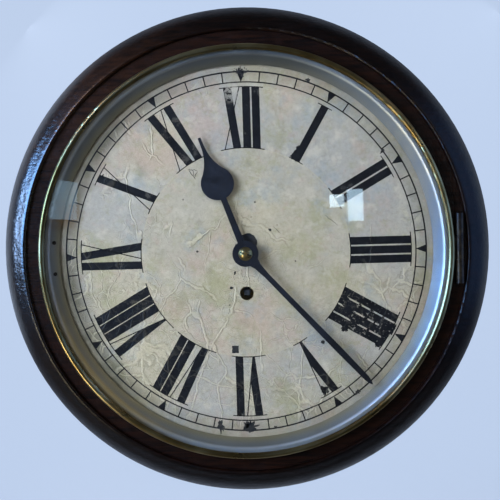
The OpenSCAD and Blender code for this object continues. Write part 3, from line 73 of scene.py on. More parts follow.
class Shader:
    def __init__(self, name):
        self.mat = bpy.data.materials.new(name)
        self.mat.use_nodes = True
        self.tree = self.mat.node_tree
        self.bsdf = self.tree.nodes["Principled BSDF"]
        self.out = self.tree.nodes["Material Output"]

    def node(self, kind, **settings):
        n = self.tree.nodes.new(kind)
        for key, value in settings.items():
            setattr(n, key, value)
        return n

    def link(self, a, b):
        self.tree.links.new(a, b)

    def feed(self, socket, value):
        if hasattr(value, "is_linked"):
            self.link(value, socket)
        elif isinstance(value, (tuple, list)) and len(value) == 3 and socket.type == "RGBA":
            socket.default_value = (*value, 1)
        else:
            socket.default_value = value

    def coords(self, scale=(1, 1, 1), shift=(0, 0, 0), turn=(0, 0, 0)):
        tex = self.node("ShaderNodeTexCoord")
        mapping = self.node("ShaderNodeMapping")
        mapping.inputs["Scale"].default_value = scale
        mapping.inputs["Location"].default_value = shift
        mapping.inputs["Rotation"].default_value = [math.radians(t) for t in turn]
        self.link(tex.outputs["Object"], mapping.inputs["Vector"])
        return mapping.outputs["Vector"]

    def noise(self, vector, scale, detail=4, rough=0.55, distort=0.0, colour=False):
        n = self.node("ShaderNodeTexNoise")
        self.link(vector, n.inputs["Vector"])
        n.inputs["Scale"].default_value = scale
        n.inputs["Detail"].default_value = detail
        n.inputs["Roughness"].default_value = rough
        n.inputs["Distortion"].default_value = distort
        return n.outputs["Color" if colour else "Fac"]

    def voronoi(self, vector, scale, feature="DISTANCE_TO_EDGE"):
        n = self.node("ShaderNodeTexVoronoi", feature=feature)
        self.link(vector, n.inputs["Vector"])
        n.inputs["Scale"].default_value = scale
        return n.outputs["Distance"]

    def ramp(self, value, low, high, a=0.0, b=1.0):
        n = self.node("ShaderNodeMapRange", interpolation_type="SMOOTHSTEP")
        self.feed(n.inputs["Value"], value)
        n.inputs["From Min"].default_value = low
        n.inputs["From Max"].default_value = high
        n.inputs["To Min"].default_value = a
        n.inputs["To Max"].default_value = b
        return n.outputs["Result"]

    def maths(self, kind, a, b=0.0):
        n = self.node("ShaderNodeMath", operation=kind)
        self.feed(n.inputs[0], a)
        self.feed(n.inputs[1], b)
        return n.outputs[0]

    def times(self, a, b):
        return self.maths("MULTIPLY", a, b)

    def split(self, vector):
        n = self.node("ShaderNodeSeparateXYZ")
        self.link(vector, n.inputs[0])
        return n.outputs

    def moved(self, vector, push):
        n = self.node("ShaderNodeVectorMath", operation="ADD")
        self.link(vector, n.inputs[0])
        self.link(push, n.inputs[1])
        return n.outputs[0]

    def mix(self, share, a, b):
        n = self.node("ShaderNodeMix", data_type="RGBA")
        self.feed(n.inputs["Factor"], share)
        self.feed(n.inputs["A"], a)
        self.feed(n.inputs["B"], b)
        return n.outputs["Result"]

    def bump(self, height, distance, strength=1.0, under=None):
        n = self.node("ShaderNodeBump")
        self.feed(n.inputs["Height"], height)
        n.inputs["Distance"].default_value = distance
        n.inputs["Strength"].default_value = strength
        if under is not None:
            self.link(under, n.inputs["Normal"])
        return n.outputs["Normal"]

    # one surface laid over another by a share between 0 and 1
    def cover(self, share, under, over):
        n = self.node("ShaderNodeMixShader")
        self.link(share, n.inputs["Fac"])
        self.link(under, n.inputs[1])
        self.link(over, n.inputs[2])
        self.link(n.outputs[0], self.out.inputs["Surface"])
        return self.mat

    def set(self, **values):
        for key, value in values.items():
            self.feed(self.bsdf.inputs[key.replace("_", " ")], value)
        return self.mat


def srgb(r, g, b):
    return tuple(((c / 255) / 12.92 if c <= 10 else ((c / 255 + 0.055) / 1.055) ** 2.4)
                 for c in (r, g, b))


# distance from the axis of the hands, in metres, as a shader value
def radiusFromAxis(s):
    parts = s.split(s.coords(shift=(0, 0, handAxisDrop / 1000)))
    xx = s.times(parts["X"], parts["X"])
    zz = s.times(parts["Z"], parts["Z"])
    return s.maths("SQRT", s.maths("ADD", xx, zz))


# spots that look different: x, y, how far they are full and where they end, in mm
spots = {
    "stainAtNine": (-141, 36, 3, 20),
    "smearedFour": (92, -53, 12, 34),
    "tornTwelve": (-8, 124, 3, 10),
    "litWoodUpperLeft": (-130, 115, 30, 130),
    "shinyVarnish": (-185, 45, 60, 155),
    "brassReflectionOnRing": (-120, -96, 20, 95),
    "shadedRing": (0, 150, 25, 85),
    "blueReflectionOnRing": (150, 60, 60, 150),
}


def spotShare(s, spot):
    x, y, inner, outer = spots[spot]
    p = place(x, y, dialFront)
    v = s.coords(shift=(-p.x, 0, -p.z), scale=(1, 0, 1))
    n = s.node("ShaderNodeVectorMath", operation="LENGTH")
    s.link(v, n.inputs[0])
    return s.ramp(n.outputs["Value"], inner / 1000, outer / 1000, 1, 0)


# one brown stain runs over the edge of the dial and the sight ring
def stainShare(s):
    patch = s.ramp(s.noise(s.coords(), 90, 4), 0.32, 0.55)
    return s.times(s.times(spotShare(s, "stainAtNine"), patch), 0.9)


dialPaintLook = {
    "grey": srgb(178, 180, 180),
    "cream": srgb(192, 187, 168),
    "green": srgb(162, 164, 126),
    "pink": srgb(194, 172, 164),
    "blue": srgb(158, 172, 184),
    "dark": srgb(118, 116, 98),
    "light": srgb(212, 211, 200),
    # darker brown of the margin: old varnish and painted shade
    "rim": srgb(94, 92, 74),
    # painted highlight on the ridge tops; painted shade beside the ridges, also the colour of the
    # crack lines
    "ridgeHighlight": srgb(216, 212, 188),
    "crackAndShadeLine": srgb(100, 97, 78),
    "discLine": srgb(196, 192, 168),
    "pit": srgb(66, 66, 60),
    "stain": srgb(104, 78, 46),
    "ink": (srgb(9, 10, 15), srgb(23, 25, 31)),
    "discR": 0.081,
    "brownFrom": 0.126,
    "brownFull": 0.139,
    # cells of each kind of crack along one metre
    "longRidges": 17,
    "shortRidges": 48,
    "smallCracks": 125,
    "tallRidges": 34,
    "net": 150,
    "crackAndShadeShare": 0.34,
    "ridgeHighlightShare": 0.42,
    "relief": 0.0004,
    # tint, place in the noise, scale, where it starts and is full, and its most
    "clouds": [
        ("green", (6, 1, 9), 24, 0.5, 0.68, 0.6),
        ("pink", (1, 8, 2), 20, 0.5, 0.66, 0.5),
        ("blue", (5, 5, 3), 28, 0.52, 0.68, 0.6),
        ("dark", (4, 4, 4), 52, 0.54, 0.72, 0.3),
        ("green", (2, 7, 1), 140, 0.52, 0.68, 0.35),
        ("pink", (9, 2, 6), 120, 0.54, 0.7, 0.35),
        ("dark", (0, 0, 0), 330, 0.38, 0.75, 0.26),
        ("light", (2, 9, 7), 95, 0.5, 0.7, 0.5),
    ],
}


# long raised cracks, shorter ones, small wriggling ones and a net: the relief of the old paint, with
# a painted highlight on each ridge and a painted shade beside it
def paintRelief(s):
    look = dialPaintLook
    v = s.coords()
    wobble = s.node("ShaderNodeVectorMath", operation="SCALE")
    s.link(s.noise(v, 34, 4, colour=True), wobble.inputs[0])
    wobble.inputs["Scale"].default_value = 0.02
    bent = s.moved(v, wobble.outputs[0])
    # the lower half and the left are cracked most
    parts = s.split(v)
    lower = s.ramp(parts["Z"], -0.18, -0.05, 0.12, -0.06)
    lower = s.maths("ADD", lower, s.ramp(parts["X"], -0.08, 0.06, 0.05, -0.03))

    def ridge(scale, width, patchScale, patchLow, shift):
        where = s.node("ShaderNodeMapping")
        where.inputs["Location"].default_value = shift
        s.link(bent, where.inputs["Vector"])
        away = s.voronoi(where.outputs["Vector"], scale)
        reach = width * scale / 1000  # half width in mm, as a share of a cell
        # a pale line on the ridge and a dark line beside it, for the painted highlight and painted
        # shade
        line = s.ramp(away, reach * 0.2, reach, 1, 0)
        side = s.maths("ABSOLUTE", s.maths("SUBTRACT", away, reach * 1.15))
        dark = s.ramp(side, 0, reach * 0.5, 1, 0)
        patch = s.noise(s.coords(shift=shift), patchScale, 3, 0.6)
        share = s.ramp(s.maths("ADD", patch, lower), patchLow, patchLow + 0.07)
        return s.times(line, share), s.times(dark, share)

    sets = [  # how strong, then the ridges
        (1.0, ridge(look["longRidges"], 0.8, 13, 0.5, (0, 0, 0))),
        (0.7, ridge(look["shortRidges"], 0.5, 20, 0.56, (3, 1, 2))),
        (0.5, ridge(look["smallCracks"], 0.34, 24, 0.58, (8, 4, 6))),
    ]
    ridges, shadesAndCracks = 0.0, 0.0
    for weight, (line, dark) in sets:
        ridges = s.maths("MAXIMUM", ridges, s.times(line, weight))
        shadesAndCracks = s.maths("MAXIMUM", shadesAndCracks, s.times(dark, weight))
    # one more set is drawn out upwards
    tall = s.coords(scale=(1.0, 1.0, 0.42), turn=(0, -0.62, 0), shift=(0.4, 0, 0.2))
    away = s.voronoi(s.moved(tall, wobble.outputs[0]), look["tallRidges"])
    line = s.ramp(away, 0.006, 0.03, 1, 0)
    side = s.ramp(s.maths("ABSOLUTE", s.maths("SUBTRACT", away, 0.036)), 0, 0.014, 1, 0)
    patch = s.noise(s.coords(shift=(6, 6, 2)), 16, 3, 0.6)
    share = s.ramp(s.maths("ADD", patch, lower), 0.56, 0.64)
    ridges = s.maths("MAXIMUM", ridges, s.times(s.times(line, share), 0.9))
    shadesAndCracks = s.maths("MAXIMUM", shadesAndCracks, s.times(s.times(side, share), 0.8))
    net = s.ramp(s.voronoi(bent, look["net"]), 0.0, 0.06, 1, 0)
    netPatch = s.ramp(s.noise(s.coords(shift=(7, 2, 5)), 22, 3), 0.5, 0.62)
    fine = s.times(net, netPatch)
    shadesAndCracks = s.maths("MAXIMUM", shadesAndCracks, s.times(fine, 0.35))
    inside = s.ramp(radiusFromAxis(s), 0.134, 0.141, 1, 0.15)
    return s.times(ridges, inside), s.times(shadesAndCracks, inside)


def agedDialPaint(name, ink=False):
    look = dialPaintLook
    s = Shader(name)
    v = s.coords()
    ridges, shadesAndCracks = paintRelief(s)
    r = radiusFromAxis(s)
    inDisc = s.ramp(r, look["discR"] - 0.0005, look["discR"] + 0.0005, 0.5, 0.0)
    base = s.mix(s.ramp(s.noise(v, 10, 4), 0.4, 0.6), look["grey"], look["cream"])
    base = s.mix(inDisc, base, look["cream"])
    for tint, shift, scale, low, high, most in look["clouds"]:
        cloud = s.noise(s.coords(shift=shift), scale, 5, 0.65)
        base = s.mix(s.ramp(cloud, low, high, 0, most), base, look[tint])
    # the margin is darker and browner, most of all on the left: brown old varnish and a painted
    # shadow of the bezel
    leftInShade = s.ramp(s.split(v)["X"], -0.12, -0.03, 1.0, 0.42)
    brownPatch = s.ramp(s.noise(s.coords(shift=(3, 3, 8)), 22, 4, 0.6), 0.3, 0.6, 0.55, 1.0)
    rim = s.ramp(r, look["brownFrom"], look["brownFull"], 0, 0.9)
    base = s.mix(s.times(rim, s.times(leftInShade, brownPatch)), base, look["rim"])
    fromDisc = s.maths("ABSOLUTE", s.maths("SUBTRACT", r, look["discR"]))
    base = s.mix(s.ramp(fromDisc, 0.0, 0.0006, 0.5, 0), base, look["discLine"])
    # painted shade beside the ridges together with the crack lines of the net, then a painted
    # highlight on the ridge tops
    base = s.mix(s.times(shadesAndCracks, look["crackAndShadeShare"]), base, look["crackAndShadeLine"])
    base = s.mix(s.times(ridges, look["ridgeHighlightShare"]), base, look["ridgeHighlight"])
    pits = s.ramp(s.voronoi(s.coords(shift=(1, 1, 1)), 95, "F1"), 0.04, 0.09, 1, 0)
    pits = s.times(pits, s.ramp(s.noise(v, 120, 1), 0.6, 0.68))
    base = s.mix(s.times(pits, 0.7), base, look["pit"])
    base = s.mix(stainShare(s), base, look["stain"])
    height = s.maths("ADD", ridges, s.times(s.noise(v, 130, 6, 0.65), 0.9))
    height = s.maths("SUBTRACT", height, s.times(pits, 0.8))
    height = s.maths("SUBTRACT", height, s.times(shadesAndCracks, 0.35))
    rough = s.ramp(s.noise(v, 45, 3), 0.3, 0.7, 0.45, 0.65)
    normal = s.bump(height, look["relief"], 0.7)
    if ink:
        specks = s.ramp(s.noise(s.coords(shift=(5, 2, 2)), 520, 3, 0.6), 0.6, 0.66, 0, 0.5)
        worn = s.ramp(s.noise(s.coords(shift=(2, 6, 3)), 90, 5, 0.7), 0.58, 0.7, 0, 0.3)
        torn = s.ramp(s.noise(s.coords(shift=(9, 3, 1)), 420, 4, 0.7), 0.46, 0.54)
        # where the paint below shows through
        seen = s.maths("MAXIMUM", s.times(ridges, 0.06), s.times(worn, 0.45))
        seen = s.maths("MAXIMUM", seen, s.times(spotShare(s, "tornTwelve"), s.times(torn, 0.7)))
        seen = s.maths("MAXIMUM", seen, s.times(spotShare(s, "smearedFour"), specks))
        black = s.mix(s.ramp(s.noise(v, 110, 4), 0.3, 0.7), *look["ink"])
        base = s.mix(seen, black, base)
    return s.set(Base_Color=base, Roughness=rough, Normal=normal,
                 Specular_IOR_Level=0.15 if ink else 0.3)


bareMetalLook = {"metal": (srgb(22, 24, 28), srgb(52, 50, 46))}


def bareDialMetal():
    s = Shader("bareDialMetal")
    v = s.coords()
    base = s.mix(s.ramp(s.noise(v, 300, 5), 0.35, 0.7), *bareMetalLook["metal"])
    return s.set(Base_Color=base, Roughness=0.62, Metallic=0.25,
                 Normal=s.bump(s.noise(v, 700, 4), 0.0002, 0.6))


surroundLook = {
    "dark": srgb(4, 3, 3),
    "mid": srgb(12, 6, 5),
    "red": srgb(40, 20, 11),
    # lighter, warmer wood where light is painted on the upper left
    "worn": srgb(50, 30, 18),
    "darkPatch": srgb(8, 6, 8),
    "pore": srgb(6, 4, 4),
    "back": (srgb(84, 60, 42), srgb(56, 40, 30)),
    "grainScale": 30,
    "bandR": 0.171,
    "litUpperLeftTo": 0.184,
    "crestR": 0.1733,
    "fallWidth": 0.0077,
    "dentDepth": 0.0009,
}


def polishedMahogany():
    look = surroundLook
    s = Shader("polishedMahogany")
    grain = s.noise(s.coords(scale=(1.2, 8, 14)), look["grainScale"], 6, 0.65, 0.4)
    pores = s.noise(s.coords(scale=(2.5, 40, 60)), 30, 3, 0.7)
    v = s.coords()
    r = radiusFromAxis(s)
    base = s.mix(s.ramp(grain, 0.35, 0.68), look["dark"], look["mid"])
    band = s.ramp(r, look["bandR"] - 0.002, look["bandR"] + 0.003, 0.6, 0.08)
    base = s.mix(s.times(band, s.ramp(grain, 0.3, 0.65)), base, look["red"])
    # painted light: the upper left of the wood is lighter and warmer in the grain, most on the inner
    # band
    litUpperLeft = s.times(spotShare(s, "litWoodUpperLeft"), s.ramp(grain, 0.2, 0.75))
    litUpperLeft = s.times(litUpperLeft, s.ramp(r, look["bandR"] - 0.001, look["litUpperLeftTo"], 0.75, 0.4))
    base = s.mix(litUpperLeft, base, look["worn"])
    base = s.mix(s.ramp(s.noise(v, 16, 4), 0.45, 0.75, 0, 0.6), base, look["darkPatch"])
    base = s.mix(s.ramp(pores, 0.58, 0.7, 0, 0.35), base, look["pore"])
    # the back was never polished
    backY = max(corner[1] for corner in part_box("dial_surround"))
    bare = s.ramp(s.split(v)["Y"], backY - 0.0012, backY - 0.0004, 0, 0.92)
    base = s.mix(bare, base, s.mix(s.ramp(grain, 0.3, 0.7), *look["back"]))
    rough = s.ramp(s.ramp(s.noise(v, 75, 5, 0.7), 0.5, 0.75), 0, 1, 0.36, 0.52)
    dents = s.maths("ADD", s.noise(v, 48, 3), s.times(s.noise(v, 250, 4, 0.6), 0.4))
    streaks = s.noise(s.coords(scale=(1, 3, 5)), 150, 3, 0.6)
    dents = s.maths("ADD", dents, s.times(streaks, 0.3))
    dents = s.maths("ADD", dents, s.times(s.noise(v, 520, 2, 0.5), 0.24))
    # the varnish rounds over at the crest, and has gone dull away from the left
    away = s.ramp(r, look["crestR"], look["crestR"] + look["fallWidth"], 1, 0)
    falling = s.bump(s.maths("POWER", away, 2.0), 0.0008, 1.0)
    normal = s.bump(dents, look["dentDepth"], 0.5, falling)
    normal = s.bump(pores, 0.00012, 0.35, normal)
    varnish = s.ramp(spotShare(s, "shinyVarnish"), 0, 1, 0.08, 1.0)
    return s.set(Base_Color=base, Roughness=rough, Normal=normal, Specular_IOR_Level=0.12,
                 Coat_Weight=varnish, Coat_Roughness=0.17,
                 Coat_Normal=s.bump(dents, look["dentDepth"], 0.55, falling))


boxLook = {
    "wood": (srgb(58, 34, 24), srgb(104, 62, 40)),
    "darkPatch": srgb(44, 27, 20),
    "pore": srgb(30, 19, 14),
}


def boxMahogany(name, scale):
    look = boxLook
    s = Shader(name)
    grain = s.noise(s.coords(scale=scale), 28, 6, 0.65, 0.8)
    pores = s.noise(s.coords(scale=tuple(k * 4 for k in scale)), 30, 3, 0.7)
    v = s.coords()
    base = s.mix(s.ramp(grain, 0.32, 0.7), *look["wood"])
    base = s.mix(s.ramp(s.noise(v, 11, 4), 0.5, 0.8, 0, 0.5), base, look["darkPatch"])
    base = s.mix(s.ramp(pores, 0.58, 0.7, 0, 0.5), base, look["pore"])
    rough = s.ramp(grain, 0.2, 0.8, 0.36, 0.58)
    return s.set(Base_Color=base, Roughness=rough, Normal=s.bump(pores, 0.0002, 0.5),
                 Coat_Weight=0.25, Coat_Roughness=0.3)


oakLook = {"wood": (srgb(112, 82, 54), srgb(150, 114, 76)), "darkPatch": srgb(84, 62, 44)}


def rawOak(name, scale):
    s = Shader(name)
    grain = s.noise(s.coords(scale=scale), 26, 6, 0.7, 1.0)
    v = s.coords()
    base = s.mix(s.ramp(grain, 0.3, 0.7), *oakLook["wood"])
    base = s.mix(s.ramp(s.noise(v, 9, 4), 0.45, 0.75, 0, 0.5), base, oakLook["darkPatch"])
    return s.set(Base_Color=base, Roughness=s.ramp(grain, 0.2, 0.8, 0.62, 0.8),
                 Normal=s.bump(grain, 0.0004, 0.5))


bezelLook = {
    "bright": srgb(158, 144, 104),
    "brown": srgb(112, 92, 52),
    # dirt, also used for painted shade in the joint with the glass
    "dirtAndJointShade": srgb(62, 47, 24),
    "jointShadeR": 0.1574,
}


def agedBezelBrass():
    look = bezelLook
    s = Shader("agedBezelBrass")
    v = s.coords()
    r = radiusFromAxis(s)
    base = s.mix(s.ramp(s.noise(v, 16, 3), 0.35, 0.65), look["bright"], look["brown"])
    base = s.mix(s.ramp(s.noise(v, 30, 3, 0.5), 0.5, 0.85, 0, 0.3), base, look["dirtAndJointShade"])
    # dark inside the ring next to the glass: painted shade in the joint, with dirt
    base = s.mix(s.ramp(r, look["jointShadeR"] - 0.0006, look["jointShadeR"] + 0.0002, 0.35, 0), base,
                 look["dirtAndJointShade"])
    rough = s.ramp(s.noise(v, 40, 3, 0.5), 0.3, 0.75, 0.27, 0.33)
    scratches = s.noise(s.coords(scale=(1, 5, 1)), 420, 3, 0.6)
    return s.set(Base_Color=base, Metallic=1.0, Roughness=rough,
                 Normal=s.bump(scratches, 0.000006, 0.4))


hingeLook = {"brass": (srgb(30, 25, 22), srgb(66, 56, 40))}


def darkHingeBrass():
    s = Shader("darkHingeBrass")
    v = s.coords()
    base = s.mix(s.ramp(s.noise(v, 130, 5, 0.7), 0.4, 0.7), *hingeLook["brass"])
    rough = s.ramp(s.noise(v, 200, 3), 0.3, 0.7, 0.35, 0.55)
    return s.set(Base_Color=base, Metallic=0.7, Roughness=rough,
                 Normal=s.bump(s.noise(v, 420, 4), 0.0001, 0.5))


brassLook = {"tone": (190, 158, 92), "shade": 0.72, "tarnish": srgb(96, 74, 40)}


def cleanBrass(name, brushed=(1, 1, 1), tone=brassLook["tone"]):
    s = Shader(name)
    v = s.coords()
    dark = tuple(int(c * brassLook["shade"]) for c in tone)
    base = s.mix(s.ramp(s.noise(v, 28, 4), 0.35, 0.7), srgb(*tone), srgb(*dark))
    base = s.mix(s.ramp(s.noise(v, 210, 5, 0.7), 0.58, 0.78, 0, 0.5), base, brassLook["tarnish"])
    lines = s.noise(s.coords(scale=brushed), 300, 3, 0.6)
    rough = s.ramp(lines, 0.3, 0.7, 0.26, 0.44)
    return s.set(Base_Color=base, Metallic=1.0, Roughness=rough, Normal=s.bump(lines, 0.00005, 0.4))


steelLook = {"tone": (150, 152, 155), "shade": 0.68, "rust": srgb(70, 54, 42)}


def greySteel(name, tone=steelLook["tone"], rough=(0.25, 0.45)):
    s = Shader(name)
    v = s.coords()
    dark = tuple(int(c * steelLook["shade"]) for c in tone)
    base = s.mix(s.ramp(s.noise(v, 90, 5, 0.65), 0.35, 0.7), srgb(*tone), srgb(*dark))
    base = s.mix(s.ramp(s.noise(v, 400, 4, 0.7), 0.62, 0.75, 0, 0.6), base, steelLook["rust"])
    return s.set(Base_Color=base, Metallic=1.0,
                 Roughness=s.ramp(s.noise(v, 260, 3), 0.3, 0.7, *rough),
                 Normal=s.bump(s.noise(v, 500, 3), 0.00005, 0.4))


handLook = {"steel": (srgb(24, 26, 34), srgb(36, 40, 52)), "rust": srgb(48, 38, 34)}


def bluedHandSteel():
    s = Shader("bluedHandSteel")
    v = s.coords()
    base = s.mix(s.ramp(s.noise(v, 60, 4), 0.35, 0.7), *handLook["steel"])
    base = s.mix(s.ramp(s.noise(v, 420, 5, 0.7), 0.6, 0.76, 0, 0.6), base, handLook["rust"])
    rough = s.ramp(s.noise(v, 180, 4), 0.3, 0.7, 0.4, 0.6)
    return s.set(Base_Color=base, Metallic=0.55, Roughness=rough,
                 Normal=s.bump(s.noise(v, 520, 4), 0.00008, 0.5))


sightLook = {
    "silver": srgb(104, 110, 114),
    "shade": srgb(84, 88, 88),
    "innerDirt": srgb(104, 100, 78),
    # paler outer rim, a painted highlight
    "edge": srgb(200, 206, 208),
    # warm painted reflection of the brass on the lower left
    "tarnish": srgb(186, 158, 84),
    "topShade": srgb(58, 64, 68),
    # painted reflection of blue light on the right
    "blueReflection": srgb(92, 104, 118),
    "stain": srgb(96, 70, 38),
    "innerR": 0.1455,
    "topR": 0.1536,
}


def silveredSightRing():
    look = sightLook
    inner, top = look["innerR"], look["topR"]
    s = Shader("silveredSightRing")
    v = s.coords()
    r = radiusFromAxis(s)
    lines = s.node("ShaderNodeTexNoise", noise_dimensions="1D")
    s.link(r, lines.inputs["W"])
    lines.inputs["Scale"].default_value = 2600
    lines.inputs["Detail"].default_value = 2
    base = s.mix(s.ramp(s.noise(v, 8, 2), 0.35, 0.7), look["silver"], look["shade"])
    base = s.mix(s.ramp(s.noise(v, 70, 5, 0.65), 0.55, 0.8, 0, 0.5), base, look["innerDirt"])
    base = s.mix(s.ramp(r, inner, inner + 0.0055, 0.85, 0), base, look["innerDirt"])
    # a paler line along the outer rim: a painted highlight
    base = s.mix(s.ramp(r, top - 0.0024, top - 0.0004, 0, 0.85), base, look["edge"])
    base = s.mix(stainShare(s), base, look["stain"])
    # painted reflection of the brass: warm yellow on the outer part, on the lower left
    tarnish = s.times(spotShare(s, "brassReflectionOnRing"), s.ramp(r, top - 0.0046, top - 0.0006, 0.1, 0.75))
    base = s.mix(tarnish, base, look["tarnish"])
    base = s.mix(s.times(spotShare(s, "shadedRing"), 0.6), base, look["topShade"])
    # painted reflection of blue light on the right, over the inner part of the ring
    blueReflection = s.times(spotShare(s, "blueReflectionOnRing"), s.ramp(r, top - 0.0031, top - 0.0006, 0.75, 0))
    base = s.mix(blueReflection, base, look["blueReflection"])
    rough = s.ramp(s.noise(v, 120, 3), 0.3, 0.7, 0.34, 0.46)
    metal = s.ramp(r, inner, inner + 0.005, 0.15, 0.45)
    metal = s.maths("ADD", metal, s.ramp(r, top - 0.0028, top - 0.0006, 0, 0.4))
    return s.set(Base_Color=base, Metallic=metal, Roughness=rough,
                 Normal=s.bump(lines.outputs["Fac"], 0.00003, 0.5))


glassLook = {
    "tint": (srgb(250, 253, 255), srgb(240, 246, 250)),
    "mirrorStraight": 0.04,
    "mirrorAtEdge": 0.9,
}


# thin glass: clear, with a mirror share that grows at a slant
def convexGlass():
    look = glassLook
    s = Shader("convexGlass")
    v = s.coords()
    smears = s.ramp(s.noise(v, 26, 4), 0.4, 0.8, 0.015, 0.06)
    tint = s.mix(s.ramp(s.noise(v, 12, 2), 0.3, 0.7), *look["tint"])
    s.set(Base_Color=tint, Metallic=1.0, Roughness=smears)
    facing = s.node("ShaderNodeLayerWeight")
    facing.inputs["Blend"].default_value = 0.5
    steep = s.maths("POWER", facing.outputs["Facing"], 5.0)
    mirror = s.maths("ADD", s.times(steep, look["mirrorAtEdge"]), look["mirrorStraight"])
    clear = s.node("ShaderNodeBsdfTransparent")
    return s.cover(mirror, clear.outputs[0], s.bsdf.outputs[0])


gutLook = {"gut": (srgb(170, 140, 88), srgb(120, 92, 52))}


def twistedGut():
    s = Shader("twistedGut")
    v = s.coords()
    base = s.mix(s.ramp(s.noise(v, 400, 4), 0.35, 0.7), *gutLook["gut"])
    return s.set(Base_Color=base, Roughness=0.5, Normal=s.bump(s.noise(v, 900, 3), 0.0001, 0.6))


surroundWood = polishedMahogany()
boards = boxMahogany("boxMahoganyUpright", (14, 8, 1.2))
boardsAcross = boxMahogany("boxMahoganyAcross", (1.2, 8, 14))
doorWood = boxMahogany("doorMahogany", (9, 9, 1.1))
backWood = rawOak("backboardOak", (12, 6, 1))
pegWood = rawOak("pegOak", (3, 10, 10))
bracketWood = rawOak("bracketOak", (10, 3, 10))
bezelBrass = agedBezelBrass()
plateBrass = cleanBrass("plateBrass", (1, 1, 6))
wheelBrass = cleanBrass("wheelBrass", (3, 1, 3), (198, 164, 96))
castBrass = cleanBrass("castBrass", (1, 1, 1), (172, 142, 84))
colletBrass = cleanBrass("colletBrass", (1, 1, 1), (176, 156, 104))
hingeBrass = darkHingeBrass()
arborSteel = greySteel("arborSteel")
screwSteel = greySteel("screwSteel", (96, 94, 90), (0.35, 0.55))
catchScrewSteel = greySteel("catchScrewSteel", (58, 50, 42), (0.45, 0.65))
springSteel = greySteel("springSteel", (84, 92, 112), (0.22, 0.38))
handSteel = bluedHandSteel()
silvered = silveredSightRing()
glass = convexGlass()
dialPaint = agedDialPaint("agedDialPaint")
inkPaint = agedDialPaint("dialInk", ink=True)
bareMetal = bareDialMetal()
gut = twistedGut()

finishes = {
    "dial_surround": surroundWood, "surround_brackets": bracketWood, "case_side_left": boards,
    "case_side_right": boards, "case_top": boardsAcross, "case_bottom": boardsAcross,
    "backboard": backWood, "case_pegs": pegWood, "side_door": doorWood, "bottom_door": boardsAcross,
    "bezel_ring": bezelBrass, "bezel_hinge_leaf": hingeBrass, "bezel_hinge_plate": hingeBrass,
    "sight_ring": silvered, "bezel_glass": glass, "dial_plate": dialPaint,
    "hour_hand": handSteel, "minute_hand": handSteel, "hand_collet": colletBrass,
    "mainspring": springSteel, "suspension_spring": springSteel,
    "hanging_screws": screwSteel, "dial_screws": screwSteel, "taper_pins": arborSteel,
    "catch_screws": catchScrewSteel, "hand_pin": catchScrewSteel, "movement_screws": screwSteel,
    "fusee_arbor": arborSteel, "barrel_arbor": arborSteel, "setup_click": arborSteel,
    "cannon_pinion": arborSteel, "pallets": arborSteel, "crutch": arborSteel,
    "pendulum_rod": arborSteel, "front_plate": plateBrass, "back_plate": plateBrass,
    "great_wheel": wheelBrass, "centre_wheel": wheelBrass, "minute_wheel": wheelBrass,
    "hour_wheel": wheelBrass, "third_wheel": wheelBrass, "escape_wheel": wheelBrass,
    "fusee_line": gut,
}
for name, piece in nodes.items():
    mat = finishes.get(name, castBrass)
    piece.data.materials.clear()
    piece.data.materials.append(mat)
print("materials set on", len(nodes), "nodes")


# how deep a layer on the dial starts and how far it stands out from the plate, in mm
layers = {
    "ink": (-0.05, 0.06),
    "inkAgain": (-0.05, 0.07),
    "flaked": (-0.04, 0.09),
    "scratched": (-0.04, 0.03),
    "worn": (-0.04, 0.05),
}


# flat painted shapes on the dial: each is an outline of one closed line or more, and its triangles
def slab(name, shapes, layer, mat, closedLines=1):
    low, high = (dialFront + d for d in layers[layer])
    verts, faces = [], []
    for outline, tris in shapes:
        start = len(verts)
        n = len(outline)
        verts += [place(x, y, low) for x, y in outline]
        verts += [place(x, y, high) for x, y in outline]
        for a, b, c in tris:
            faces.append((start + n + a, start + n + b, start + n + c))
        line = n // closedLines
        for i in range(n):
            j = i - i % line + (i + 1) % line
            faces.append((start + i, start + j, start + n + j, start + n + i))
    mesh = bpy.data.meshes.new(name)
    mesh.from_pydata(verts, [], faces)
    mesh.materials.append(mat)
    bm = bmesh.new()
    bm.from_mesh(mesh)
    bmesh.ops.recalc_face_normals(bm, faces=bm.faces)
    bm.to_mesh(mesh)
    bm.free()
    obj = bpy.data.objects.new(name, mesh)
    bpy.context.scene.collection.objects.link(obj)
    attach(obj, "case")


noise.seed_set(12)  # so that the brush wanders the same way on every run


def brushed(points, step=0.9, wander=0.1):
    out = []
    n = len(points)
    for i in range(n):
        ax, ay = points[i]
        bx, by = points[(i + 1) % n]
        parts = max(1, int(math.hypot(bx - ax, by - ay) / step))
        for k in range(parts):
            x = ax + (bx - ax) * k / parts
            y = ay + (by - ay) * k / parts
            push = noise.noise_vector(Vector((x * 0.8, y * 0.8, 3.7)))
            out.append((x + push.x * wander, y + push.y * wander))
    return out


def flatFill(outline):
    flat = [Vector((x, y, 0)) for x, y in outline]
    return outline, geometry.tessellate_polygon([flat])


def filled(points):
    return flatFill(brushed(points))


def arcBand(r0, r1, a0, a1, step=1.0):
    count = max(2, int(abs(a1 - a0) / step) + 1)
    outer, inner = [], []
    for i in range(count + 1):
        a = a0 + (a1 - a0) * i / count
        x, y = polar(1, a)
        wobble = noise.noise(Vector((x * 60, y * 60, 1.3))) * 0.1
        outer.append((x * (r1 + wobble), y * (r1 + wobble)))
        wobble = noise.noise(Vector((x * 60, y * 60, 8.3))) * 0.1
        inner.append((x * (r0 + wobble), y * (r0 + wobble)))
    outline = outer + inner[::-1]
    n = len(outline)
    tris = []
    for i in range(count):
        tris.append((i, i + 1, n - 2 - i))
        tris.append((i, n - 2 - i, n - 1 - i))
    return outline, tris


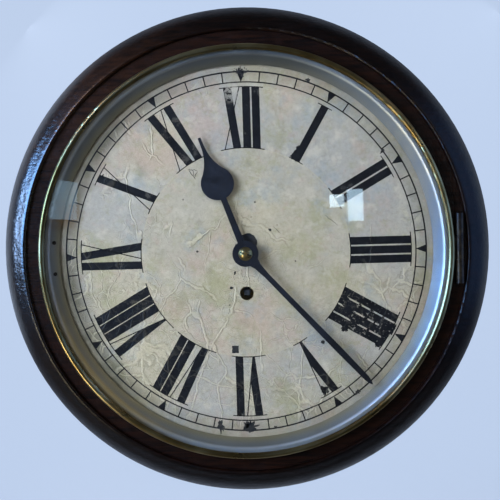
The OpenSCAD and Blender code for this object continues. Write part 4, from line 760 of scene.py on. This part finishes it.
track = {
    "outerR": 140.0, "innerR": 132.0, "outerLine": 1.15, "innerLine": 0.95,
    "minuteLine": 0.95, "markerBase": 6.4, "overlap": 0.2,
}


def minuteTrack():
    t = track
    shapes = []
    for quarter in range(4):
        a = quarter * 90
        for r, line in ((t["outerR"], t["outerLine"]), (t["innerR"], t["innerLine"])):
            shapes.append(arcBand(r - line / 2, r + line / 2, a, a + 90))
    for minute in range(60):
        a = math.radians(minute * 6)
        across = Vector((math.cos(a), -math.sin(a)))
        out = Vector((math.sin(a), math.cos(a)))
        low = out * (t["innerR"] - t["overlap"])
        high = out * (t["outerR"] + t["overlap"])
        if minute % 5 == 0:
            half = across * t["markerBase"] / 2
            points = [low, high + half, high - half]
        else:
            half = across * t["minuteLine"] / 2
            points = [low - half, low + half, high + half, high - half]
        shapes.append(filled([(p.x, p.y) for p in points]))
    return shapes


numeral = {
    "footR": 81.6, "headR": 128.5, "bar": 6.1, "barGap": 1.2, "letterGap": 1.7,
    "crossWidth": 12.9, "apexTip": 1.9, "hairline": 0.8, "serif": 0.75, "serifReach": 3.0,
}
# two of them were painted with closer bars, one with a blunt foot
handPainted = {
    7: {"bar": 6.5, "barGap": 0.8, "apexTip": 5.3},
    8: {"bar": 6.6, "barGap": 0.75},
}
hours = ["XII", "I", "II", "III", "IIII", "V", "VI", "VII", "VIII", "IX", "X", "XI"]


def letterWidth(letter, m):
    return m["bar"] if letter == "I" else m["crossWidth"]


def letterShapes(letter, left, m):
    r0, r1 = m["footR"], m["headR"]
    bar, hair = m["bar"], m["hairline"]
    if letter == "I":
        return [[(left, r0), (left + bar, r0), (left + bar, r1), (left, r1)]]
    right = left + m["crossWidth"]
    if letter == "X":
        thick = [(left, r1), (left + bar, r1), (right, r0), (right - bar, r0)]
        thin = [(right - hair, r1), (right, r1), (left + hair, r0), (left, r0)]
        return [thick, thin]
    apex = left + m["crossWidth"] * 0.5
    tip = m["apexTip"]
    # the thick arm keeps its width until the hairline cuts it off
    meet = (m["crossWidth"] - hair - bar) / (m["crossWidth"] - tip)
    meetX = left + bar + meet * (apex - tip / 2 - left)
    meetY = r1 + meet * (r0 - r1)
    tipLeft, tipRight = apex - tip / 2, apex + tip / 2
    thick = [(left, r1), (left + bar, r1), (meetX, meetY), (tipRight, r0), (tipLeft, r0)]
    thin = [(right - hair, r1), (right, r1), (tipRight, r0), (tipRight - hair, r0)]
    return [thick, thin]


def wordShapes(word, hour):
    m = {**numeral, **handPainted.get(hour, {})}
    gaps = []
    for a, b in zip(word, word[1:]):
        gaps.append(m["barGap"] if a == b else m["letterGap"])
    total = sum(letterWidth(c, m) for c in word) + sum(gaps)
    x = -total / 2
    turn = -math.radians(hour * 30)
    cosT, sinT = math.cos(turn), math.sin(turn)
    shapes = []
    for i, letter in enumerate(word):
        for poly in letterShapes(letter, x, m):
            bent = []
            for px, py in brushed(poly, 2.0, 0.0):
                py -= px * px / (2 * py)  # the ends of the strokes follow the two circles
                bent.append((px * cosT - py * sinT, px * sinT + py * cosT))
            shapes.append(filled(bent))
        x += letterWidth(letter, m) + (gaps[i] if i < len(gaps) else 0)
    # the serif lines, half as long at the foot of a word that ends in V
    footShare = 0.5 if word[-1] == "V" else 1.0
    for r, share in ((m["footR"], footShare), (m["headR"], 1.0)):
        half = math.degrees((total * share / 2 + m["serifReach"]) / r)
        band = (r - m["serif"] / 2, r + m["serif"] / 2)
        shapes.append(arcBand(*band, hour * 30 - half, hour * 30 + half, 0.6))
    return shapes


slab("minuteTrack", minuteTrack(), "ink", inkPaint)
for hour, word in enumerate(hours):
    slab(f"numeral_{hour or 12:02d}", wordShapes(word, hour), "ink", inkPaint)
print("numerals and minute track painted")


# places where the paint has flaked off: x, y, half width, half height, turn, roughness
flakes = {
    "aboveTwelve": (-1.2, 140.6, 2.0, 1.4, 5, 0.9),
    "nearTwelve": (1.2, 137.2, 1.0, 1.6, 20, 0.8),
    "belowSix": (0.6, -137.8, 5.2, 3.0, 25, 0.8),
    "besideSix": (-3.2, -135.5, 2.3, 3.0, -10, 0.8),
    "thirtyOne": (-23.3, -136.0, 2.3, 4.2, 12, 0.8),
    "oneOClock": (51.6, 131.9, 1.8, 1.4, 30, 0.8),
    "minute23": (84.9, -111.4, 2.2, 1.6, 40, 0.8),
    "squarePlug": (-10.2, -75.5, 2.6, 2.9, 0, 0.15),
    "pitA": (-8.8, -15.3, 0.7, 1.5, -15, 0.5),
    "pitB": (-11.9, -27.0, 1.5, 1.0, 10, 0.5),
    "pitC": (19.4, 17.5, 0.9, 1.3, 30, 0.6),
    "pitD": (8.3, 39.5, 0.7, 0.7, 0, 0.5),
    "pitE": (38.6, -7.2, 0.6, 0.6, 0, 0.5),
    "pitF": (-37.5, 2.2, 0.9, 0.9, 0, 0.5),
    "pitG": (58.4, -71.2, 1.5, 1.5, 0, 0.3),
    "pitH": (20.0, -137.8, 1.6, 0.7, -20, 0.7),
    "besideTwo": (107.6, 76.0, 2.2, 1.1, 40, 0.8),
}


def flake(x, y, halfW, halfH, turn, rough, seed):
    count = 40
    out = []
    c, sn = math.cos(math.radians(turn)), math.sin(math.radians(turn))
    for i in range(count):
        a = 2 * math.pi * i / count
        wob = noise.noise(Vector((math.cos(a) * 1.8 + seed * 9.1, math.sin(a) * 1.8, seed)))
        wob += 0.5 * noise.noise(Vector((math.cos(a) * 5 + seed, math.sin(a) * 5, seed * 2.3)))
        k = 1 + rough * wob
        if rough < 0.2:  # smooth ones are squarish
            k /= max(abs(math.cos(a)), abs(math.sin(a))) ** 0.9
        px, py = halfW * k * math.cos(a), halfH * k * math.sin(a)
        out.append((x + px * c - py * sn, y + px * sn + py * c))
    return out


flakeShapes = [flatFill(flake(*f, seed)) for seed, f in enumerate(flakes.values())]

# a fan of small specks over the twelve
specks = {
    "x": -0.6, "y": 137.0, "reach": 8.075, "flat": 0.8, "fan": 62, "count": 34,
    "least": 0.28, "most": 0.75, "rough": 0.4,
}
dice = random.Random(12)
for k in range(specks["count"]):
    a = math.radians(90 + dice.uniform(-specks["fan"], specks["fan"]))
    d = specks["reach"] * math.sqrt(dice.uniform(0.05, 1))
    size = dice.uniform(specks["least"], specks["most"])
    x, y = specks["x"] + d * math.cos(a), specks["y"] + d * math.sin(a) * specks["flat"]
    height = size * dice.uniform(0.7, 1.2)
    flakeShapes.append(flatFill(flake(x, y, size, height, 0, specks["rough"], 40 + k)))
slab("flakedSpots", flakeShapes, "flaked", bareMetal)


# black paint that has run or been touched up: at an hour, across and from the centre, half sizes
inkPatches = {
    "fourGapA": (4, -7.3, 84.5, 1.1, 3.6), "fourGapB": (4, 0.1, 92.0, 1.2, 5.4),
    "fourGapC": (4, 0.0, 122.5, 1.2, 4.6), "fourGapD": (4, 7.2, 100.5, 1.2, 4.2),
    "fourGapE": (4, 7.4, 126.0, 1.1, 2.4), "fourSideA": (4, 14.6, 96.0, 2.6, 3.0),
    "fourSideB": (4, 13.9, 124.5, 2.0, 2.4), "fourEnd": (4, -2.0, 129.2, 5.0, 1.3),
    "fourSpotA": (4, -7.2, 97.5, 0.9, 1.2), "fourSpotB": (4, -7.3, 108.0, 0.9, 1.6),
    "fourSpotC": (4, -7.1, 118.0, 0.9, 0.9), "fourSpotD": (4, 0.1, 106.5, 0.9, 1.4),
    "fourSpotE": (4, 0.0, 114.0, 0.9, 0.9), "fourSpotF": (4, 7.3, 112.5, 0.9, 1.3),
    "oneFoot": (1, -1.6, 84.0, 3.6, 3.0), "oneSide": (1, -3.2, 90.0, 1.4, 3.2),
    "fiveEnd": (5, 3.5, 124.0, 2.8, 3.4), "tenHead": (10, -2.6, 126.0, 3.0, 1.2),
}


def inkPatchShapes():
    shapes = []
    for seed, (hour, across, out, halfAcross, halfOut) in enumerate(inkPatches.values()):
        turn = -math.radians(hour * 30)
        c, sn = math.cos(turn), math.sin(turn)
        points = flake(across, out, halfAcross, halfOut, 0, 0.75, 80 + seed)
        shapes.append(flatFill([(x * c - y * sn, x * sn + y * c) for x, y in points]))
    return shapes


slab("inkPatches", inkPatchShapes(), "inkAgain", inkPaint)

# thin scratches: pairs of points and a width
scratches = [
    ((-42.6, 66.0), (-35.6, 65.2), 0.5), ((-42.8, 66.2), (-37.2, 58.2), 0.55),
    ((-35.8, 65.0), (-38.0, 59.0), 0.45), ((-39.6, 66.0), (-38.0, 60.6), 0.4),
    ((22.0, 20.5), (27.5, 14.5), 0.35), ((62.0, 28.0), (72.0, 20.0), 0.4),
    ((84.0, 33.0), (91.0, 27.0), 0.4),
]


def scratchShapes():
    shapes = []
    for (ax, ay), (bx, by), width in scratches:
        length = math.hypot(bx - ax, by - ay)
        nx, ny = -(by - ay) / length, (bx - ax) / length
        count = 10
        one, two = [], []
        for k in range(count + 1):
            t = k / count
            x, y = ax + (bx - ax) * t, ay + (by - ay) * t
            push = noise.noise(Vector((x * 0.7, y * 0.7, 2.0))) * 0.8
            half = width / 2 * (0.35 + 0.65 * math.sin(math.pi * min(0.97, max(0.03, t))))
            one.append((x + nx * (push + half), y + ny * (push + half)))
            two.append((x + nx * (push - half), y + ny * (push - half)))
        shapes.append(flatFill(one + two[::-1]))
    return shapes


slab("scratches", scratchShapes(), "scratched", bareMetal)

# worn ring of bare metal round the hole for the hands, with a larger patch above it
wornCentre = {
    "holeR": 6.6, "width": 3.0, "waves": 2.0, "notches": 0.7, "points": 90,
    "patchFrom": 0.6, "patchTo": 2.1, "patchWidth": 6.2,
}


def wornCentreShape():
    w = wornCentre
    n = w["points"]
    worn, hole = [], []
    for i in range(n):
        a = 2 * math.pi * i / n
        c, sn = math.cos(a), math.sin(a)
        width = w["width"] + w["waves"] * noise.noise(Vector((c * 2, sn * 2, 5.1)))
        if w["patchFrom"] < a < w["patchTo"]:
            share = (a - w["patchFrom"]) / (w["patchTo"] - w["patchFrom"])
            width += w["patchWidth"] * math.sin(share * math.pi) ** 0.6
        width += w["notches"] * noise.noise(Vector((c * 14, sn * 14, 2.2)))
        worn.append((c * (w["holeR"] + width), sn * (w["holeR"] + width)))
        hole.append((w["holeR"] * c, w["holeR"] * sn))
    tris = []
    for i in range(n):
        j = (i + 1) % n
        tris += [(i, j, n + j), (i, n + j, n + i)]
    return worn + hole, tris


slab("wornCentre", [wornCentreShape()], "worn", bareMetal, closedLines=2)
print("wear on the dial placed")


# the gut line of the fusee, wound on the barrel and in the groove of the fusee, in mm
gutLine = {
    "barrelAt": (-58.5, -36.0), "barrelR": 27.4, "barrelTurns": 4, "barrelPitch": 2.6,
    "fuseeAt": (0.0, -31.5), "fuseeTurns": 7.5, "groovePitch": 1.7, "grooveZ": 63.0,
    "fuseeBigR": 22.0, "fuseeSmallR": 10.5, "fuseeGrooves": 16, "turnsOnFusee": 8,
    "perTurn": 60, "straightStep": 1.2, "across": 0.98, "strandDepth": 0.12, "twistPitch": 4.2,
    "sides": 12, "strands": 3, "inGroove": 0.1, "slopeLift": 0.3,
}


def fuseeRadius(z):
    g = gutLine
    share = (z - g["grooveZ"]) / (g["fuseeGrooves"] * g["groovePitch"])
    return g["fuseeBigR"] / (1 + (g["fuseeBigR"] / g["fuseeSmallR"] - 1) * share)


# the line lies a little in its groove, and rides higher where the cone is steep
def lineRadius(z):
    g = gutLine
    slope = fuseeRadius(z - 0.5) - fuseeRadius(z + 0.5)
    return fuseeRadius(z) - g["inGroove"] + g["slopeLift"] * slope


def gutRoute():
    g = gutLine
    bx, by = g["barrelAt"]
    fx, fy = g["fuseeAt"]
    contactZ = g["grooveZ"] + g["turnsOnFusee"] * g["groovePitch"]
    span = math.hypot(fx - bx, fy - by)
    start = math.atan2(fy - by, fx - bx) + math.acos((g["barrelR"] - lineRadius(contactZ)) / span)
    route = []
    n = g["perTurn"]
    for i in range(g["barrelTurns"] * n, -1, -1):
        a = start + 2 * math.pi * i / n
        route.append((bx + g["barrelR"] * math.cos(a), by + g["barrelR"] * math.sin(a),
                      contactZ + g["barrelPitch"] * i / n))
    r = lineRadius(contactZ)
    end = (fx + r * math.cos(start), fy + r * math.sin(start), contactZ)
    last = route[-1]
    pieces = int(math.dist(last, end) / g["straightStep"])
    for i in range(1, pieces):
        t = i / pieces
        route.append(tuple(p + (q - p) * t for p, q in zip(last, end)))
    for i in range(int(g["fuseeTurns"] * n) + 1):
        z = contactZ - g["groovePitch"] * i / n
        a = start - 2 * math.pi * i / n
        route.append((fx + lineRadius(z) * math.cos(a), fy + lineRadius(z) * math.sin(a), z))
    return [place(*p) for p in route]


# a round line whose strands show as a slow twist
def twistedLine(name, route, mat):
    g = gutLine
    bm = bmesh.new()
    rings = []
    walked = 0.0
    for k, at in enumerate(route):
        ahead, behind = route[min(k + 1, len(route) - 1)], route[max(k - 1, 0)]
        run = (ahead - behind).normalized()
        side = run.cross(Vector((0, -1, 0))).normalized()
        up = side.cross(run)
        if k:
            walked += (at - route[k - 1]).length * 1000
        ring = []
        for j in range(g["sides"]):
            a = 2 * math.pi * j / g["sides"]
            turn = 2 * math.pi * walked / g["twistPitch"]
            hump = abs(math.cos(g["strands"] / 2 * (a - turn)))
            r = g["across"] / 2 * (1 - g["strandDepth"] * (1 - hump))
            ring.append(bm.verts.new(at + (up * math.cos(a) + side * math.sin(a)) * r / 1000))
        rings.append(ring)
    for one, two in zip(rings, rings[1:]):
        for j in range(g["sides"]):
            m = (j + 1) % g["sides"]
            bm.faces.new((one[j], one[m], two[m], two[j]))
    bm.faces.new(rings[0][::-1])
    bm.faces.new(rings[-1])
    bmesh.ops.recalc_face_normals(bm, faces=bm.faces)
    mesh = bpy.data.meshes.new(name)
    bm.to_mesh(mesh)
    bm.free()
    for p in mesh.polygons:
        p.use_smooth = True
    mesh.materials.append(mat)
    obj = bpy.data.objects.new(name, mesh)
    bpy.context.scene.collection.objects.link(obj)
    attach(obj, "case")
    return obj


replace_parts(twistedLine("gutLine", gutRoute(), gut), "fusee_line")
print("gut line wound")


# stage, lamps and camera

stageLook = {
    "floorDrop": 1.7, "wallBehind": 2.4, "wallTop": 2.6, "width": 7.0, "front": 0.3, "bend": 0.7,
    "wall": (srgb(196, 209, 230), srgb(206, 216, 234)), "floor": srgb(158, 168, 186),
    "seen": srgb(190, 208, 236), "floorEnds": -1.6, "wallStarts": -0.9,
}


# the wall shows its own pale colour, and the floor keeps the shadow of the object
def paleStage():
    look = stageLook
    s = Shader("paleStage")
    v = s.coords()
    height = s.split(v)["Z"]
    base = s.mix(s.ramp(s.noise(v, 1.2, 3), 0.3, 0.7), *look["wall"])
    base = s.mix(s.ramp(height, look["floorEnds"], look["wallStarts"], 0.8, 0), base, look["floor"])
    s.set(Base_Color=base, Roughness=0.9, Normal=s.bump(s.noise(v, 60, 3), 0.001, 0.3))
    glow = s.node("ShaderNodeEmission")
    glow.inputs["Color"].default_value = (*look["seen"], 1)
    glow.inputs["Strength"].default_value = 1.0
    paths = s.node("ShaderNodeLightPath")
    seen = s.maths("MAXIMUM", paths.outputs["Is Camera Ray"], paths.outputs["Is Transmission Ray"])
    seen = s.maths("MAXIMUM", seen, paths.outputs["Is Glossy Ray"])
    upright = s.ramp(height, look["floorEnds"], look["wallStarts"], 0, 0.9)
    share = s.maths("MAXIMUM", s.times(seen, upright),
                    s.times(paths.outputs["Is Camera Ray"], 0.6))
    return s.cover(share, s.bsdf.outputs[0], glow.outputs[0])


def sweptStage():
    t = stageLook
    profile = [(-t["front"], -t["floorDrop"])]
    count = 14
    for i in range(count + 1):
        a = math.pi / 2 * i / count
        y = t["wallBehind"] - t["bend"] + t["bend"] * math.sin(a)
        z = -t["floorDrop"] + t["bend"] * (1 - math.cos(a))
        profile.append((y, z))
    profile.append((t["wallBehind"], t["wallTop"]))
    verts, faces = [], []
    for y, z in profile:
        verts += [(-t["width"] / 2, y, z), (t["width"] / 2, y, z)]
    for i in range(len(profile) - 1):
        a = 2 * i
        faces.append((a, a + 1, a + 3, a + 2))
    mesh = bpy.data.meshes.new("sweptStage")
    mesh.from_pydata(verts, [], faces)
    mesh.materials.append(paleStage())
    for p in mesh.polygons:
        p.use_smooth = True
    obj = bpy.data.objects.new("sweptStage", mesh)
    bpy.context.scene.collection.objects.link(obj)


sweptStage()

# the broad lamps light the object, the others only shine in brass, varnish and glass
lamps = {
    "leftKey": {"at": (-1.95, -1.35, 0.4), "size": (2.0, 1.8), "watts": 112,
                "colour": (0.9, 0.95, 1.0), "glossy": False},
    "warmFill": {"at": (1.3, -2.0, 0.5), "size": (1.6, 1.6), "watts": 9, "colour": (1.0, 0.84, 0.6),
                 "glossy": False},
    "blueWindow": {"at": (-1.84, -1.28, 0.22), "size": (1.45, 0.9), "watts": 112,
                   "colour": (0.2, 0.47, 1.0), "diffuse": False},
    "warmLeft": {"at": (-1.53, -1.51, 0.95), "size": (0.3, 0.5), "watts": 6,
                 "colour": (1.0, 0.6, 0.3), "diffuse": False},
    "warmRight": {"at": (1.5, -1.5, 0.85), "size": (0.14, 0.4), "watts": 1.4,
                  "colour": (1.0, 0.74, 0.42), "diffuse": False},
    "whiteEdge": {"at": (-1.95, -0.7, 0.06), "size": (0.22, 0.6), "watts": 3,
                  "colour": (1.0, 0.92, 0.76), "diffuse": False},
    "rightWindow": {"at": (1.6, -0.7, 0.05), "size": (1.1, 1.6), "watts": 10,
                    "colour": (0.2, 0.42, 1.0), "diffuse": False},
    "farRight": {"at": (1.5, 0.05, 0.1), "size": (0.6, 1.4), "watts": 2.5,
                 "colour": (0.25, 0.5, 1.0), "diffuse": False},
    "lowLamp": {"at": (-1.25, -1.25, -0.95), "size": (0.4, 0.6), "watts": 12,
                "colour": (1.0, 0.86, 0.56), "diffuse": False},
    "behindRight": {"at": (1.1, 2.0, 0.9), "size": (1.0, 1.0), "watts": 40,
                    "colour": (0.95, 0.97, 1.0), "glossy": False},
    "behindLeft": {"at": (-1.1, 2.0, 0.9), "size": (1.0, 1.0), "watts": 40,
                   "colour": (0.95, 0.97, 1.0), "glossy": False},
    "rightSide": {"at": (2.2, 0.42, 0.45), "size": (1.2, 1.2), "watts": 34,
                  "colour": (1.0, 0.96, 0.9), "glossy": False},
    "leftSide": {"at": (-2.2, 0.42, 0.45), "size": (1.2, 1.2), "watts": 26,
                 "colour": (0.95, 0.97, 1.0), "glossy": False},
    "frontFill": {"at": (0.3, -2.6, 1.3), "size": (1.6, 1.2), "watts": 8,
                  "colour": (0.92, 0.96, 1.0), "glossy": False},
    "paneInGlass": {"at": (0.81, -2.4, 0.08), "size": (0.13, 0.25), "watts": 0.7,
                    "colour": (0.6, 0.82, 1.0)},
    "smallPane": {"at": (0.67, -2.44, 0.12), "size": (0.12, 0.1), "watts": 0.28,
                  "colour": (0.7, 0.88, 1.0)},
    "paneAtEdge": {"at": (-1.5, -2.2, 0.17), "size": (0.2, 0.3), "watts": 0.35,
                   "colour": (0.5, 0.78, 1.0)},
}
target = Vector((0, -0.1, -handAxisDrop / 1000))
for name, lamp in lamps.items():
    data = bpy.data.lights.new(name, "AREA")
    data.shape = "RECTANGLE"
    data.size, data.size_y = lamp["size"]
    data.energy = lamp["watts"]
    data.color = lamp["colour"]
    obj = bpy.data.objects.new(name, data)
    obj.location = lamp["at"]
    obj.rotation_euler = (target - obj.location).to_track_quat("-Z", "Y").to_euler()
    obj.visible_glossy = lamp.get("glossy", True)
    obj.visible_diffuse = lamp.get("diffuse", True)
    obj.visible_camera = False
    bpy.context.scene.collection.objects.link(obj)

roomLook = {"low": 0.03, "high": 0.08, "tint": (0.85, 0.92, 1.0, 1)}


def roomLight():
    world = bpy.data.worlds.new("roomLight")
    world.use_nodes = True
    tree = world.node_tree
    new, link = tree.nodes.new, tree.links.new

    def maths(kind, one, two):
        n = new("ShaderNodeMath")
        n.operation = kind
        link(one, n.inputs[0])
        link(two, n.inputs[1])
        return n.outputs[0]

    sky = tree.nodes["Background"]
    sky.inputs["Color"].default_value = roomLook["tint"]
    parts = new("ShaderNodeSeparateXYZ")
    link(new("ShaderNodeTexCoord").outputs["Generated"], parts.inputs[0])
    shade = new("ShaderNodeMapRange")
    shade.inputs["From Min"].default_value = -0.5
    shade.inputs["From Max"].default_value = 0.6
    shade.inputs["To Min"].default_value = roomLook["low"]
    shade.inputs["To Max"].default_value = roomLook["high"]
    link(parts.outputs["Z"], shade.inputs["Value"])
    link(shade.outputs["Result"], sky.inputs["Strength"])
    pale = new("ShaderNodeBackground")
    pale.inputs["Color"].default_value = (*stageLook["seen"], 1)
    # varnish, metal and glass show the pale backdrop behind, and the darker room in front
    behind = new("ShaderNodeMapRange")
    behind.inputs["From Max"].default_value = 0.2
    link(parts.outputs["Y"], behind.inputs["Value"])
    paths = new("ShaderNodeLightPath").outputs
    bent = maths("MAXIMUM", paths["Is Glossy Ray"], paths["Is Transmission Ray"])
    paleBehind = maths("MULTIPLY", bent, behind.outputs["Result"])
    seen = maths("MAXIMUM", paths["Is Camera Ray"], paleBehind)
    both = new("ShaderNodeMixShader")
    link(seen, both.inputs["Fac"])
    link(sky.outputs[0], both.inputs[1])
    link(pale.outputs[0], both.inputs[2])
    link(both.outputs[0], tree.nodes["World Output"].inputs["Surface"])
    bpy.context.scene.world = world


roomLight()

# in metres and degrees, fitted to the photograph
cameraFit = {
    "at": (0.02332, -0.90890, -0.05779),
    "turn": (86.0274, 1.6096, 1.3305),
    "focalPixels": 1019.0,
    "imagePixels": 500,
    "sensor": 36.0,
}
cam = bpy.data.cameras.new("photoCamera")
cam.sensor_width = cameraFit["sensor"]
cam.sensor_fit = "HORIZONTAL"
cam.lens = cameraFit["focalPixels"] * cameraFit["sensor"] / cameraFit["imagePixels"]
cam.clip_start = 0.01
camObj = bpy.data.objects.new("photoCamera", cam)
camObj.location = cameraFit["at"]
camObj.rotation_euler = Euler([math.radians(a) for a in cameraFit["turn"]], "XYZ")
bpy.context.scene.collection.objects.link(camObj)
bpy.context.scene.camera = camObj
bpy.context.scene.view_settings.view_transform = "Standard"
print("stage, lamps and camera ready")
